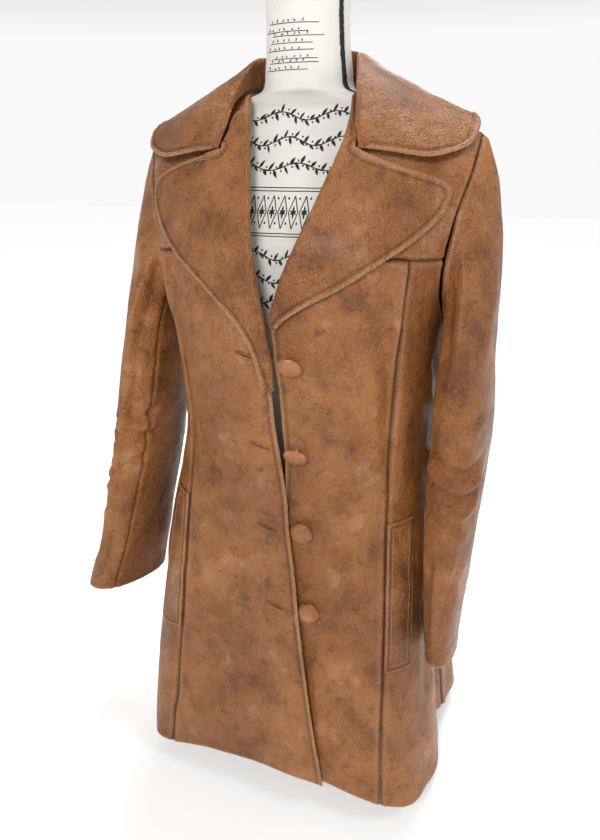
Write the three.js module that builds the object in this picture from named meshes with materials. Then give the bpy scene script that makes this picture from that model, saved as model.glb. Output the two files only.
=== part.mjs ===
// Worn leather coat on a limbless dress form. Millimetres, +Z up, the front faces -Y,
// +X is the wearer's left. The origin is the middle of the base's underside.

import * as THREE from 'three';

// Driving sizes
const LEATHER = 1.5;
const DOUBLED = 3;
const SEAM_GAP = 0.35;
const HEM_HEIGHT = 54;
const YOKE_SEAM = 735;
const ARMPIT = 640;
const RIDGE = 895;
const NECK_HALF = 66;
const SHOULDER_HALF = 202;
const BACK_NECK = 878;
const BREAK = { left: 648, right: 572 };

// Body levels: height, half width left, half width right, middle of depth, reach to the front,
// reach to the back, squareness of front and back, drop of the level line towards the shoulder tip
const LEVELS = [
  [54, 206, 200, -8, 200, 190, 8, 3, 0],
  [150, 193, 206, -8, 181, 180, 5.5, 2.9, 0],
  [250, 182, 205, -8, 161, 168, 4, 2.7, 0],
  [350, 174, 196, -8, 147, 152, 3.1, 2.5, 0],
  [430, 169, 180, -8, 140, 132, 2.6, 2.4, 0],
  [500, 166, 167, -8, 138, 116, 2.4, 2.3, 0],
  [560, 166, 166, -8, 141, 114, 2.4, 2.3, 0],
  [620, 170, 170, -8, 143, 122, 2.4, 2.3, 3],
  [680, 177, 177, -8, 141, 128, 2.5, 2.4, 10],
  [740, 185, 185, -8, 128, 126, 2.6, 2.5, 20],
  [790, 192, 192, -7, 98, 112, 2.9, 2.6, 31],
  [830, 198, 198, -6, 72, 97, 3.2, 2.7, 39],
  [860, 201, 201, -5, 52, 80, 3.2, 2.6, 45],
  [880, 202, 202, -5, 35, 62, 3, 2.4, 48],
  [890, 202, 202, -5, 20, 40, 2.8, 2.2, 49.5],
  [895, 202, 202, -5, 0.2, 0.2, 2.6, 2.2, 50],
];

// Flutes of the skirt: run from the middle front (0) over the side (1) to the middle back (2),
// height of the wave at the hem, half width in the same measure
const FLUTES = [
  [0.72, 8, 0.12], [0.93, -12, 0.1], [1.16, 9, 0.12], [1.4, -9, 0.12], [1.66, 9, 0.13],
  [-0.74, 6, 0.12], [-0.97, -8, 0.12], [-1.2, 10, 0.13], [-1.45, -8, 0.12], [-1.7, 8, 0.13],
  [0.33, 4, 0.14], [-0.3, -3, 0.14], [-0.52, 4, 0.1],
];
const FLUTE_TOP = 460;
const HEM_SAG = 24;
const SAG_TOP = 320;

// Armhole on the body: height of the level and share of the run from the middle to the side
const ARMHOLE_LEVELS = [640, 643, 650, 662, 680, 705, 735, 765, 795, 822, 846, 866, 878, 885, 890, 895];
const ARMHOLE_FRONT = [
  [640, 1], [643, 0.965], [650, 0.92], [662, 0.87], [680, 0.82], [705, 0.785], [735, 0.775],
  [765, 0.785], [795, 0.8], [822, 0.83], [846, 0.87], [866, 0.905], [881, 0.94], [890, 0.965],
  [895, 1],
];
const ARMHOLE_BACK = [
  [640, 1], [643, 0.965], [650, 0.925], [662, 0.88], [680, 0.845], [705, 0.825], [735, 0.82],
  [765, 0.825], [795, 0.84], [822, 0.86], [846, 0.88], [866, 0.905], [881, 0.935], [890, 0.965],
  [895, 1],
];

// Princess seam of the front: height and distance from the middle
const PRINCESS = [[54, 154], [141, 147], [242, 141], [430, 131], [544, 133], [648, 138], [735, 145]];

// Free front edges: height and place across
const EDGE_RIGHT = [
  [54, 78], [111, 66], [166, 54], [221, 44], [286, 35], [343, 28], [396, 20], [440, 16.5],
  [485, 10.5], [512, 7], [539, 4.5], [572, 3],
];
const EDGE_LEFT = [
  [54, -2], [220, 2], [400, 8], [484, 12], [538, 10.5], [565, 9.5], [590, 8], [608, 5.5], [648, 3],
];

// Roll lines of the lapels, from the break up to the neck point: height level and place across
const ROLL_LEFT = [[648, 3], [700, 20], [750, 40], [800, 57], [840, 68], [870, 70], [895, 66]];
const ROLL_RIGHT = [
  [572, 3], [608, 0], [640, -5], [660, -8], [690, -14], [750, -28], [800, -41], [840, -51],
  [870, -60], [895, -66],
];

// Back neckline: height level and place across
const NECKLINE = [[878, 0], [880, 15], [885, 36], [890, 48.5], [895, 66]];

// Sleeve sections below the armhole: height, place across, place in depth, half thickness,
// half depth, turn of the front edge outwards in degrees
const SLEEVE_LEFT = [
  [605, 204, -33, 31, 77, 0], [560, 205, -43, 34, 75, 0], [515, 205, -52, 35, 73, 0],
  [470, 205, -61, 34, 71, 0], [430, 204, -69, 33, 69, 0], [380, 203, -78, 30, 66, 0],
  [326, 203, -88, 26, 62, 0], [275, 204, -97, 22, 59, 0], [232, 206, -105, 19, 56, 0],
];
const SLEEVE_RIGHT = [
  [605, 206, -32, 31, 76, 2], [553, 212, -42, 32, 74, 3], [500, 220, -51, 31, 72, 4],
  [450, 228, -59, 31, 70, 5], [411, 235, -65, 30, 68, 7], [354, 247, -73, 29, 67, 9],
  [310, 256, -79, 29, 67, 11], [266, 266, -86, 28, 68, 14], [230, 274, -91, 27, 69, 16],
];
const SLEEVE_SQUARE = 2.2;
const SLEEVE_CAP_ROWS = 7;
const SLEEVE_FRONT_SEAM = 11;
const SLEEVE_BACK_SEAM = 20;

const ring = (a, b, c) => new THREE.Vector3(a, b, c);

// Smooth curve through rows [key, value, value...], read at a key
function through(rows) {
  const width = rows[0].length - 1;
  const slope = (i, k) => {
    const a = rows[Math.max(i - 1, 0)];
    const b = rows[Math.min(i + 1, rows.length - 1)];
    return (b[k] - a[k]) / (b[0] - a[0]);
  };
  return (key) => {
    let i = 0;
    while (i < rows.length - 2 && key > rows[i + 1][0]) {
      i += 1;
    }
    const a = rows[i];
    const b = rows[i + 1];
    const run = b[0] - a[0];
    const s = Math.min(Math.max((key - a[0]) / run, 0), 1);
    const out = [];
    for (let k = 1; k <= width; k += 1) {
      const m0 = slope(i, k) * run;
      const m1 = slope(i + 1, k) * run;
      const s2 = s * s;
      const s3 = s2 * s;
      out.push((2 * s3 - 3 * s2 + 1) * a[k] + (s3 - 2 * s2 + s) * m0 + (3 * s2 - 2 * s3) * b[k] + (s3 - s2) * m1);
    }
    return width === 1 ? out[0] : out;
  };
}

const smooth = (s) => {
  const c = Math.min(Math.max(s, 0), 1);
  return c * c * (3 - 2 * c);
};
const bump = (s) => (Math.abs(s) < 1 ? (1 - s * s) ** 2 : 0);

const levelAt = through(LEVELS);
const armFront = through(ARMHOLE_FRONT);
const armBack = through(ARMHOLE_BACK);
const princessAt = through(PRINCESS);

// A quarter of a squared ellipse, walked by its own length from its middle (0) to its side (1)
const quarters = new Map();
function quarter(half, reach, square, share) {
  const key = `${half.toFixed(3)} ${reach.toFixed(3)} ${square.toFixed(3)}`;
  if (!quarters.has(key)) {
    const steps = 60;
    const points = [];
    let run = 0;
    for (let i = 0; i <= steps; i += 1) {
      const angle = (i / steps) * Math.PI / 2;
      const x = half * Math.sin(angle) ** (2 / square);
      const y = reach * Math.max(Math.cos(angle), 0) ** (2 / square);
      if (i > 0) {
        run += Math.hypot(x - points[i - 1][0], y - points[i - 1][1]);
      }
      points.push([x, y, run]);
    }
    quarters.set(key, points);
  }
  const points = quarters.get(key);
  const goal = share * points[points.length - 1][2];
  let i = 1;
  while (i < points.length - 1 && points[i][2] < goal) {
    i += 1;
  }
  const a = points[i - 1];
  const b = points[i];
  const s = (goal - a[2]) / (b[2] - a[2] || 1);
  return [a[0] + s * (b[0] - a[0]), a[1] + s * (b[1] - a[1])];
}

// Share of the shoulder's drop at a place across: none at the neck, straight past a soft bend
function shoulderFall(x) {
  const bend = 40;
  const run = x - NECK_HALF + bend / 2;
  const full = SHOULDER_HALF - NECK_HALF;
  return run < 0 ? 0 : (run < bend ? run * run / (2 * bend) : run - bend / 2) / full;
}

// The coat's outer surface. q runs from the middle front (0) by the side (1) to the middle back
// (2), positive on the wearer's left; h is the level's height at the neck.
function body(q, h) {
  const [left, right, mid, front, back, squareF, squareB, drop] = levelAt(h);
  const side = q < 0 ? -1 : 1;
  const run = Math.abs(q);
  const half = side > 0 ? left : right;
  const onBack = run > 1;
  const reach = onBack ? back : front;
  const [x, y] = quarter(half, reach, onBack ? squareB : squareF, onBack ? 2 - run : run);
  let wave = 0;
  if (h < FLUTE_TOP) {
    const share = ((FLUTE_TOP - h) / (FLUTE_TOP - HEM_HEIGHT)) ** 1.4;
    for (const [at, height, width] of FLUTES) {
      wave += height * share * bump((q - at) / width);
    }
  }
  const length = Math.hypot(x / half, y / reach) || 1;
  const outX = x / half / length;
  const outY = y / reach / length;
  const sag = HEM_SAG * smooth((run - 0.12) / 0.5) * Math.max(SAG_TOP - h, 0) / (SAG_TOP - HEM_HEIGHT);
  const z = h - drop * shoulderFall(x) - sag;
  return ring(side * (x + wave * outX), mid + (onBack ? 1 : -1) * (y + wave * outY), z);
}

// Share of the run at which the surface is x away from the middle, on the front or the back
function runAt(x, h, onBack = false) {
  const side = x < 0 ? -1 : 1;
  let near = onBack ? 2 : 0;
  let far = 1;
  for (let i = 0; i < 30; i += 1) {
    const mid = (near + far) / 2;
    if (Math.abs(body(side * mid, h).x) < Math.abs(x)) {
      near = mid;
    } else {
      far = mid;
    }
  }
  return side * (near + far) / 2;
}

// The front surface's run and level where it is at x and at height z
function frontAt(x, z) {
  let low = HEM_HEIGHT;
  let high = RIDGE;
  for (let i = 0; i < 30; i += 1) {
    const mid = (low + high) / 2;
    if (mid - levelAt(mid)[7] * shoulderFall(Math.abs(x)) < z) {
      low = mid;
    } else {
      high = mid;
    }
  }
  return [runAt(x, low), low];
}

function bodyNormal(q, h) {
  const dq = 0.004;
  const dh = 1;
  const across = body(q + dq, h).sub(body(q - dq, h));
  const up = body(q, Math.min(h + dh, RIDGE)).sub(body(q, h - dh));
  const normal = across.cross(up);
  return (h >= RIDGE ? normal.setY(0) : normal).normalize();
}

function bodyOut(q, h, distance) {
  return body(q, h).addScaledVector(bodyNormal(q, h), distance);
}

// A closed solid from a grid of outer points and a matching grid of inner points
function solid(outer, inner) {
  const rows = outer.length;
  const columns = outer[0].length;
  const position = [];
  for (const grid of [outer, inner]) {
    for (const row of grid) {
      for (const point of row) {
        position.push(point.x, point.y, point.z);
      }
    }
  }
  const at = (layer, i, j) => layer * rows * columns + i * columns + j;
  const index = [];
  const face = (a, b, c, d) => index.push(a, b, c, a, c, d);
  for (let i = 0; i < rows - 1; i += 1) {
    for (let j = 0; j < columns - 1; j += 1) {
      face(at(0, i, j), at(0, i, j + 1), at(0, i + 1, j + 1), at(0, i + 1, j));
      face(at(1, i, j), at(1, i + 1, j), at(1, i + 1, j + 1), at(1, i, j + 1));
    }
  }
  for (let j = 0; j < columns - 1; j += 1) {
    face(at(0, 0, j), at(1, 0, j), at(1, 0, j + 1), at(0, 0, j + 1));
    face(at(0, rows - 1, j), at(0, rows - 1, j + 1), at(1, rows - 1, j + 1), at(1, rows - 1, j));
  }
  for (let i = 0; i < rows - 1; i += 1) {
    face(at(0, i, 0), at(0, i + 1, 0), at(1, i + 1, 0), at(1, i, 0));
    face(at(0, i, columns - 1), at(1, i, columns - 1), at(1, i + 1, columns - 1), at(0, i + 1, columns - 1));
  }
  return facingOut(position, index);
}

// Turns the faces over when the volume they close is negative
function facingOut(position, index) {
  let volume = 0;
  for (let i = 0; i < index.length; i += 3) {
    const [a, b, c] = [0, 1, 2].map((k) => new THREE.Vector3().fromArray(position, 3 * index[i + k]));
    volume += a.dot(b.cross(c));
  }
  if (volume < 0) {
    for (let i = 0; i < index.length; i += 3) {
      [index[i], index[i + 1]] = [index[i + 1], index[i]];
    }
  }
  const geometry = new THREE.BufferGeometry();
  geometry.setAttribute('position', new THREE.Float32BufferAttribute(position, 3));
  geometry.setIndex(index);
  geometry.computeVertexNormals();
  return geometry;
}

// Unit normals of a grid of points; a flip of -1 turns them to the other side
function gridNormals(grid, flip) {
  const rows = grid.length;
  const columns = grid[0].length;
  return grid.map((row, i) => row.map((point, j) => {
    const across = row[Math.min(j + 1, columns - 1)].clone().sub(row[Math.max(j - 1, 0)]);
    const up = grid[Math.min(i + 1, rows - 1)][j].clone().sub(grid[Math.max(i - 1, 0)][j]);
    return across.cross(up).normalize().multiplyScalar(flip);
  }));
}

// A leather wall: the grid is its outer face, the inner face lies a thickness behind it
function wall(grid, thickness, flip) {
  const normals = gridNormals(grid, flip);
  const inner = grid.map((row, i) => (
    row.map((point, j) => point.clone().addScaledVector(normals[i][j], -thickness))
  ));
  return solid(grid, inner);
}

const lerp = (a, b, s) => a + (b - a) * s;
const spread = (from, to, count) => Array.from({ length: count + 1 }, (_, i) => lerp(from, to, i / count));

// Level heights from one seam to another, with the armhole's own levels above the armpit
function levels(from, to, step) {
  const list = [];
  const top = Math.min(to, ARMPIT);
  if (from < ARMPIT) {
    list.push(...spread(from, top, Math.round((top - from) / step)));
  }
  for (const h of ARMHOLE_LEVELS) {
    if (h > Math.max(from, ARMPIT) && h < to) {
      list.push(h);
    }
  }
  if (to > ARMPIT) {
    list.push(to);
  }
  return from >= ARMPIT ? [from, ...list] : list;
}

// Share of the run that a gap along a seam takes up at a level
const gapRun = (h) => SEAM_GAP / 2 / (1.3 * levelAt(h)[0]);

// A panel on the body between boundaries of the run, with a number of columns in each stretch;
// lift moves it out from the surface
function panel(heights, bounds, columns, lift = () => 0) {
  const layer = (depth) => heights.map((h) => {
    const gap = gapRun(h);
    const last = bounds.length - 1;
    const runs = [];
    for (let k = 0; k < last; k += 1) {
      const from = bounds[k](h) + (k === 0 ? gap : 0);
      const to = bounds[k + 1](h) - (k === last - 1 ? gap : 0);
      runs.push(...spread(from, to, columns[k]).slice(k === 0 ? 0 : 1));
    }
    return runs.map((q) => bodyOut(q, h, lift(q, h) - depth));
  });
  return solid(layer(0), layer(LEATHER));
}

const leatherOf = (color, roughness = 0.5) => new THREE.MeshStandardMaterial({ color, roughness, metalness: 0 });
const leather = leatherOf(0x9c6a43);
const leatherTrim = leatherOf(0xa5714a, 0.45);
const buttonLeather = leatherOf(0x8d5a36, 0.4);
const coverCloth = leatherOf(0xe9e7e1, 0.9);
const blackWood = leatherOf(0x1c1b1a, 0.5);
const blackMetal = new THREE.MeshStandardMaterial({ color: 0x202020, roughness: 0.4, metalness: 0.8 });

const coat = new THREE.Group();
function add(name, geometry, material) {
  const mesh = new THREE.Mesh(geometry, material);
  mesh.name = name;
  coat.add(mesh);
  return mesh;
}

const rollLeft = through(ROLL_LEFT);
const rollRight = through(ROLL_RIGHT);
const edgeLeft = through(EDGE_LEFT);
const edgeRight = through(EDGE_RIGHT);
// The right front lies over the left one: its lift near the edge, by height
const OVERLAP = through([
  [54, 8], [200, 11], [290, 12], [400, 8], [500, 6], [600, 5.5], [735, 4], [820, 2], [895, 0],
]);
const LIFT_FADE = 95;
function liftRight(q, h) {
  const across = body(q, h).x;
  const edge = h < BREAK.right ? edgeRight(h) : rollRight(Math.min(h, RIDGE));
  return OVERLAP(h) * (1 - smooth((edge - 20 - across) / LIFT_FADE));
}

const innerLeft = (h) => runAt(h < BREAK.left ? edgeLeft(h) : rollLeft(h), h);
const innerRight = (h) => runAt(h < BREAK.right ? edgeRight(h) : rollRight(h), h);
const princess = (side) => (h) => runAt(side * princessAt(h), h);
const half = SEAM_GAP / 2;

const PANEL_STEP = 33;
const CENTRE_COLUMNS = { left: 8, right: 10 };
const SIDE_COLUMNS = 6;
const BACK_COLUMNS = 8;

function fronts() {
  const heights = levels(HEM_HEIGHT, YOKE_SEAM - half, PANEL_STEP);
  add('front_left', panel(heights, [innerLeft, princess(1)], [CENTRE_COLUMNS.left]), leather);
  add('front_right', panel(heights, [princess(-1), innerRight], [CENTRE_COLUMNS.right], liftRight), leather);
}

function sideFronts() {
  const heights = levels(HEM_HEIGHT, YOKE_SEAM - half, PANEL_STEP);
  const outer = (h) => (h < ARMPIT ? 1 : armFront(h));
  add('side_front_left', panel(heights, [princess(1), outer], [SIDE_COLUMNS]), leather);
  add('side_front_right', panel(heights, [(h) => -outer(h), princess(-1)], [SIDE_COLUMNS]), leather);
}

// Above the yoke seam the columns of both front panels go on in one piece
function yokes() {
  const heights = levels(YOKE_SEAM + half, RIDGE, PANEL_STEP);
  const middle = (side, inner) => (h) => lerp(inner(h), side * armFront(h), seamShare(side, inner));
  const left = [innerLeft, middle(1, innerLeft), armFront];
  const right = [(h) => -armFront(h), middle(-1, innerRight), innerRight];
  add('yoke_left', panel(heights, left, [CENTRE_COLUMNS.left, SIDE_COLUMNS]), leather);
  add('yoke_right', panel(heights, right, [SIDE_COLUMNS, CENTRE_COLUMNS.right], liftRight), leather);
}

// Where the princess seam meets the yoke seam, as a share from the inner edge to the armhole
function seamShare(side, inner) {
  const start = inner(YOKE_SEAM);
  return (princess(side)(YOKE_SEAM) - start) / (side * armFront(YOKE_SEAM) - start);
}

const neckAt = through(NECKLINE);
const neckRun = (h) => Math.abs(runAt(Math.max(neckAt(h), 0.01), h, true));

function backs() {
  const heights = levels(HEM_HEIGHT, RIDGE, PANEL_STEP);
  const inner = (h) => (h <= BACK_NECK ? 2 : neckRun(h));
  const outer = (h) => (h < ARMPIT ? 1 : 2 - armBack(h));
  add('back_left', panel(heights, [outer, inner], [BACK_COLUMNS]), leather);
  add('back_right', panel(heights, [(h) => -inner(h), (h) => -outer(h)], [BACK_COLUMNS]), leather);
}

// The armhole's stations, from the shoulder down the front to the armpit and up the back
function armLoop(side) {
  const down = [...ARMHOLE_LEVELS].reverse();
  const front = down.map((h) => body(side * armFront(h), h));
  const back = ARMHOLE_LEVELS.slice(1, -1).map((h) => body(side * (2 - armBack(h)), h));
  return [...front, ...back];
}

// Angle round the sleeve of each station, by its share of the loop's length
function loopAngles(loop) {
  const steps = loop.map((point, i) => point.distanceTo(loop[(i + 1) % loop.length]));
  const total = steps.reduce((a, b) => a + b, 0);
  let run = 0;
  return steps.map((step) => {
    const angle = run / total * 2 * Math.PI;
    run += step;
    return angle;
  });
}

// One cross-section of a sleeve, square to its axis
function sleeveRing(row, axis, angles, side, fold) {
  const [z, x, y, thin, deep, turn] = row;
  const spin = THREE.MathUtils.degToRad(turn) * side;
  const depth = ring(-Math.sin(spin), Math.cos(spin), 0);
  depth.addScaledVector(axis, -depth.dot(axis)).normalize();
  const across = depth.clone().cross(axis).normalize();
  if (across.x * side < 0) {
    across.negate();
  }
  return angles.map((angle) => {
    const c = Math.cos(angle);
    const s = Math.sin(angle);
    const round = (v) => Math.sign(v) * Math.abs(v) ** (2 / SLEEVE_SQUARE);
    const dent = fold(angle, z);
    return ring(side * x, y, z)
      .addScaledVector(across, (thin - dent) * round(c))
      .addScaledVector(depth, -(deep - dent) * round(s));
  });
}

// Rows of a sleeve's outer face, from the armhole seam to the cuff
function sleeveGrid(side, sections, fold) {
  const loop = armLoop(side);
  const angles = loopAngles(loop);
  const centres = sections.map(([z, x, y]) => ring(side * x, y, z));
  const rings = sections.map((row, i) => {
    const axis = centres[Math.min(i + 1, centres.length - 1)].clone().sub(centres[Math.max(i - 1, 0)]);
    return sleeveRing(row, axis.normalize(), angles, side, fold);
  });
  const start = loop.map((point) => point.clone().add(ring(side * SEAM_GAP, 0, 0)));
  const down = centres[1].clone().sub(centres[0]).normalize();
  const rows = spread(0, 1, SLEEVE_CAP_ROWS).slice(0, -1).map((s) => start.map((from, k) => {
    const to = rings[0][k];
    const reach = from.distanceTo(to);
    const leave = ring(side * 0.5, 0, -0.75).multiplyScalar(reach * 0.9);
    const arrive = down.clone().multiplyScalar(reach * 0.9);
    return hermite(from, leave, to, arrive, s);
  }));
  return [...rows, ...rings];
}

function hermite(from, leave, to, arrive, s) {
  const s2 = s * s;
  const s3 = s2 * s;
  return ring(0, 0, 0)
    .addScaledVector(from, 2 * s3 - 3 * s2 + 1)
    .addScaledVector(leave, s3 - 2 * s2 + s)
    .addScaledVector(to, 3 * s2 - 2 * s3)
    .addScaledVector(arrive, s3 - s2);
}

// The inner face of a closed tube of rings: each point moved in along its normal, and the
// armhole row straight in towards the armhole's middle
function tubeInner(grid, side, thickness) {
  const count = grid[0].length;
  const middle = grid[0].reduce((sum, point) => sum.add(point), ring(0, 0, 0)).divideScalar(count);
  return grid.map((row, i) => row.map((point, j) => {
    if (i === 0) {
      const inward = middle.clone().sub(point).setX(0).normalize();
      return point.clone().addScaledVector(inward, thickness);
    }
    const round = row[(j + 1) % count].clone().sub(row[(j + count - 1) % count]);
    const along = grid[Math.min(i + 1, grid.length - 1)][j].clone().sub(grid[i - 1][j]);
    const normal = along.cross(round).normalize().multiplyScalar(side);
    return point.clone().addScaledVector(normal, -thickness);
  }));
}

// The stretch of a tube's row between two seams, each a station that the edge stops short of
function stretch(row, from, to, gap) {
  const count = row.length;
  const read = (index) => row[((index % count) + count) % count];
  const points = [read(from).clone().lerp(read(from + 1), gap / read(from).distanceTo(read(from + 1)))];
  for (let index = from + 1; index < to; index += 1) {
    points.push(read(index));
  }
  points.push(read(to).clone().lerp(read(to - 1), gap / read(to).distanceTo(read(to - 1))));
  return points;
}

function sleeves() {
  const parts = [['left', 1, SLEEVE_LEFT, noFold], ['right', -1, SLEEVE_RIGHT, rightFold]];
  for (const [name, side, sections, fold] of parts) {
    const outer = sleeveGrid(side, sections, fold);
    const inner = tubeInner(outer, side, LEATHER);
    const count = outer[0].length;
    const cut = (grid, from, to) => grid.map((row) => stretch(row, from, to, half));
    const top = [SLEEVE_BACK_SEAM - count, SLEEVE_FRONT_SEAM];
    const under = [SLEEVE_FRONT_SEAM, SLEEVE_BACK_SEAM];
    add(`sleeve_top_${name}`, solid(cut(outer, ...top), cut(inner, ...top)), leather);
    add(`sleeve_under_${name}`, solid(cut(outer, ...under), cut(inner, ...under)), leather);
  }
}

const noFold = () => 0;
const rightFold = (angle, z) => 7 * bump((angle - 1.05) / 0.45) * smooth((z - 240) / 80) * smooth((760 - z) / 100);

// A point over the front surface that ends across and up as given, out from the cloth below,
// which the lift raises from the body's surface
const flat = () => 0;
function overFront(x, z, out, lift = flat) {
  const rise = out + lift(...frontAt(x, z));
  const normal = frontNormal(x, z).multiplyScalar(rise);
  const [q, h] = frontAt(x - normal.x, z - normal.z);
  return bodyOut(q, h, rise);
}

function frontNormal(x, z) {
  return bodyNormal(...frontAt(x, z));
}

// Lapel rows from the break up to the neck: level of the roll line, then the outer edge's place
// across and height; the last rows end on the gorge seam
const LAPEL_ROWS = {
  left: [
    [656, 12, 655], [669, 24, 667], [688, 48, 682], [708, 84, 701], [728, 118, 723], [746, 146, 742],
    [763, 168, 762], [778, 178, 780], [790, 178, 793], [801, 165, 803], [812, 138, 812],
    [823, 108, 822], [836, 80, 832], [849, 76, 842], [864, 72, 851], [884, 66, 866],
  ],
  right: [
    [582, -5, 580], [595, -7, 591], [609, -10, 604], [626, -15, 622], [645, -22, 638],
    [665, -34, 656], [685, -54, 675], [706, -84, 699], [727, -118, 722], [746, -144, 743],
    [764, -163, 763], [780, -172, 782], [792, -169, 798], [803, -155, 810], [814, -130, 820],
    [825, -103, 827], [838, -80, 832], [851, -76, 842], [866, -72, 851], [884, -66, 866],
  ],
};
const ROLL_RADIUS = 5;
const LAPEL_GAP = 1.9;
const ROLL_ARC = [-90, -135, 180, 135];
const LAPEL_SHARES = [0, 0.22, 0.47, 0.73, 1];
const LAPEL_CLEAR = through([[0, 6.5], [0.3, 5.6], [0.7, 6], [1, 7.5]]);

function lapelGrid(side, rows, roll, lift) {
  const rootAt = (level) => {
    const run = runAt(roll(level), level);
    return [bodyOut(run, level, lift(run, level)), bodyNormal(run, level)];
  };
  return rows.map(([level, edgeX, edgeZ], i) => {
    const [root, out] = rootAt(level);
    const along = rootAt(Math.min(level + 4, RIDGE - 4))[0].sub(rootAt(level - 4)[0]);
    const across = along.cross(out).normalize().multiplyScalar(side);
    const radius = lerp(3.6, ROLL_RADIUS, smooth(i / 3));
    const start = root.clone().addScaledVector(across, -LAPEL_GAP);
    const spine = start.clone().addScaledVector(out, LEATHER);
    const bend = ROLL_ARC.map((degrees) => {
      const angle = THREE.MathUtils.degToRad(degrees);
      const point = spine.clone().addScaledVector(across, radius * Math.cos(angle));
      return point.addScaledVector(out, radius * Math.sin(angle));
    });
    const top = spine.clone().addScaledVector(out, radius);
    const turned = LAPEL_SHARES.map((s) => {
      const over = overFront(lerp(top.x, edgeX, s), lerp(top.z, edgeZ, s), LAPEL_CLEAR(s), lift);
      return top.clone().lerp(over, smooth(s / 0.25));
    });
    return [...bend, ...turned];
  });
}

function lapels() {
  add('lapel_left', wall(lapelGrid(1, LAPEL_ROWS.left, rollLeft, flat), DOUBLED, 1), leatherTrim);
  add('lapel_right', wall(lapelGrid(-1, LAPEL_ROWS.right, rollRight, liftRight), DOUBLED, -1), leatherTrim);
}

// Collar sections on the wearer's left, from its free front edge round to the middle back: the
// neck seam, the rolled top, two places on the fall and the outer edge
const COLLAR_SECTIONS = [
  [[81.6, -79, 834], [94, -81.4, 833], [120, -79.5, 830], [150, -73, 826], [176, -61, 826]],
  [[78, -76, 845], [91, -80, 845], [124, -76, 843], [162, -60, 838], [193, -40, 838]],
  [[73.5, -70, 858], [86, -73, 864], [122, -61, 865], [162, -38, 859], [198, -16, 855]],
  [[70, -50, 882], [73, -51, 894], [104, -36, 894], [146, -13, 881], [190, 8, 864]],
  [[67, -6, 895.5], [61, -14, 924], [86, 2, 914], [126, 24, 892], [170, 38, 863]],
  [[54, 32, 892], [55, 18, 930], [77, 38, 915], [106, 58, 888], [134, 74, 853]],
  [[33, 51, 886], [38, 46, 934], [52, 66, 915], [68, 86, 884], [82, 99, 848]],
  [[0, 61.5, 880], [0, 57, 935], [0, 79, 916], [0, 97, 882], [0, 108, 846]],
];
const COLLAR_ROWS = 18;
const COLLAR_COLUMNS = 10;

function collar() {
  const keyed = COLLAR_SECTIONS.map((section, i) => [i, ...section.flat()]);
  const along = through(keyed);
  const last = COLLAR_SECTIONS.length - 1;
  const grid = spread(-last, last, 2 * COLLAR_ROWS).map((key) => {
    const side = key < 0 ? 1 : -1;
    const values = along(last - Math.abs(key));
    const across = through([0, 1, 2, 3, 4].map((k) => [k, ...values.slice(3 * k, 3 * k + 3)]));
    return spread(0, 4, COLLAR_COLUMNS).map((k) => {
      const [x, y, z] = across(k);
      return ring(side * x, y, z);
    });
  });
  add('collar', wall(grid, DOUBLED, 1), leatherTrim);
}

// Upright pocket welts on the side fronts, beside the princess seam
const WELT = { top: 408, bottom: 223, width: 31, stand: 0.4 };
function welts() {
  for (const [name, side] of [['left', 1], ['right', -1]]) {
    const inner = (h) => princess(side)(h) + side * 4 * gapRun(h);
    const run = (h, s) => inner(h) + side * s * WELT.width / (1.3 * levelAt(h)[0]);
    const layer = (out) => spread(WELT.bottom, WELT.top, 6).map((h) => (
      spread(0, 1, 3).map((s) => bodyOut(run(h, s), h, out))
    ));
    const outer = layer(WELT.stand + DOUBLED);
    add(`pocket_welt_${name}`, solid(outer, layer(WELT.stand)), leatherTrim);
  }
}

// Leather covered buttons on the left front: place across, height and droop in degrees
const BUTTONS = [[27, 617, 28], [29, 506, 28], [34, 397, 4], [45, 289, 0]];
const BUTTON = { radius: 14, dome: 4.2, rim: 1.6, shank: 3.2, stem: 3.5 };

function buttons() {
  const { radius, dome, rim, shank, stem } = BUTTON;
  BUTTONS.forEach(([x, z, droop], i) => {
    const neck = shank + (droop > 10 ? 6 : 0);
    const profile = [[0, 0], [stem, 0], [stem, neck], [radius - 1.5, neck], [radius, neck + rim / 2]];
    profile.push([radius - 0.4, neck + rim], [radius * 0.78, neck + rim + dome * 0.55]);
    profile.push([radius * 0.42, neck + rim + dome * 0.88], [0, neck + rim + dome]);
    const geometry = new THREE.LatheGeometry(profile.map(([r, y]) => new THREE.Vector2(r, y)), 14);
    const mesh = add(`button_${i + 1}`, geometry, buttonLeather);
    const out = frontNormal(x, z);
    const aim = out.clone().applyAxisAngle(ring(1, 0, 0), THREE.MathUtils.degToRad(droop));
    mesh.position.copy(overFront(x, z, 0.4 + stem * Math.sin(THREE.MathUtils.degToRad(droop))));
    mesh.quaternion.setFromUnitVectors(ring(0, 1, 0), aim);
  });
}

// Dress form: sections of the padded torso and neck, with height, half width, reach to the front
// and to the back, and the middle of its depth
const FORM = [
  [318, 120, 80, 90, -8], [322, 140, 98, 104, -8], [335, 152, 108, 118, -8], [370, 154, 112, 122, -8],
  [430, 144, 108, 108, -8], [510, 128, 98, 92, -8], [570, 132, 106, 94, -8], [640, 146, 116, 104, -8],
  [700, 156, 114, 106, -8], [750, 162, 98, 102, -8], [790, 164, 78, 92, -6], [820, 163, 58, 76, -6],
  [840, 152, 46, 62, -6], [855, 138, 36, 50, -6], [864, 129, 30, 43, -6], [873.1, 117, 24, 34, -6],
  [882, 92, 28, 32, -6], [887, 72, 33, 35, -5], [892, 57, 41, 42, -3], [898, 52.5, 44, 45, -1],
  [910, 51, 46, 47, 0], [935, 48.5, 45, 46, 0], [965, 47.5, 45, 46, 0], [986, 47.5, 45, 46, 0],
];
const FORM_SEGMENTS = 32;
const CAP = { radius: 46, edge: 44, thick: 14 };
const POST = { radius: 15, collar: 26, collarHeight: 40 };
const BASE = { radius: 135, thick: 16, bevel: 4 };

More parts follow.
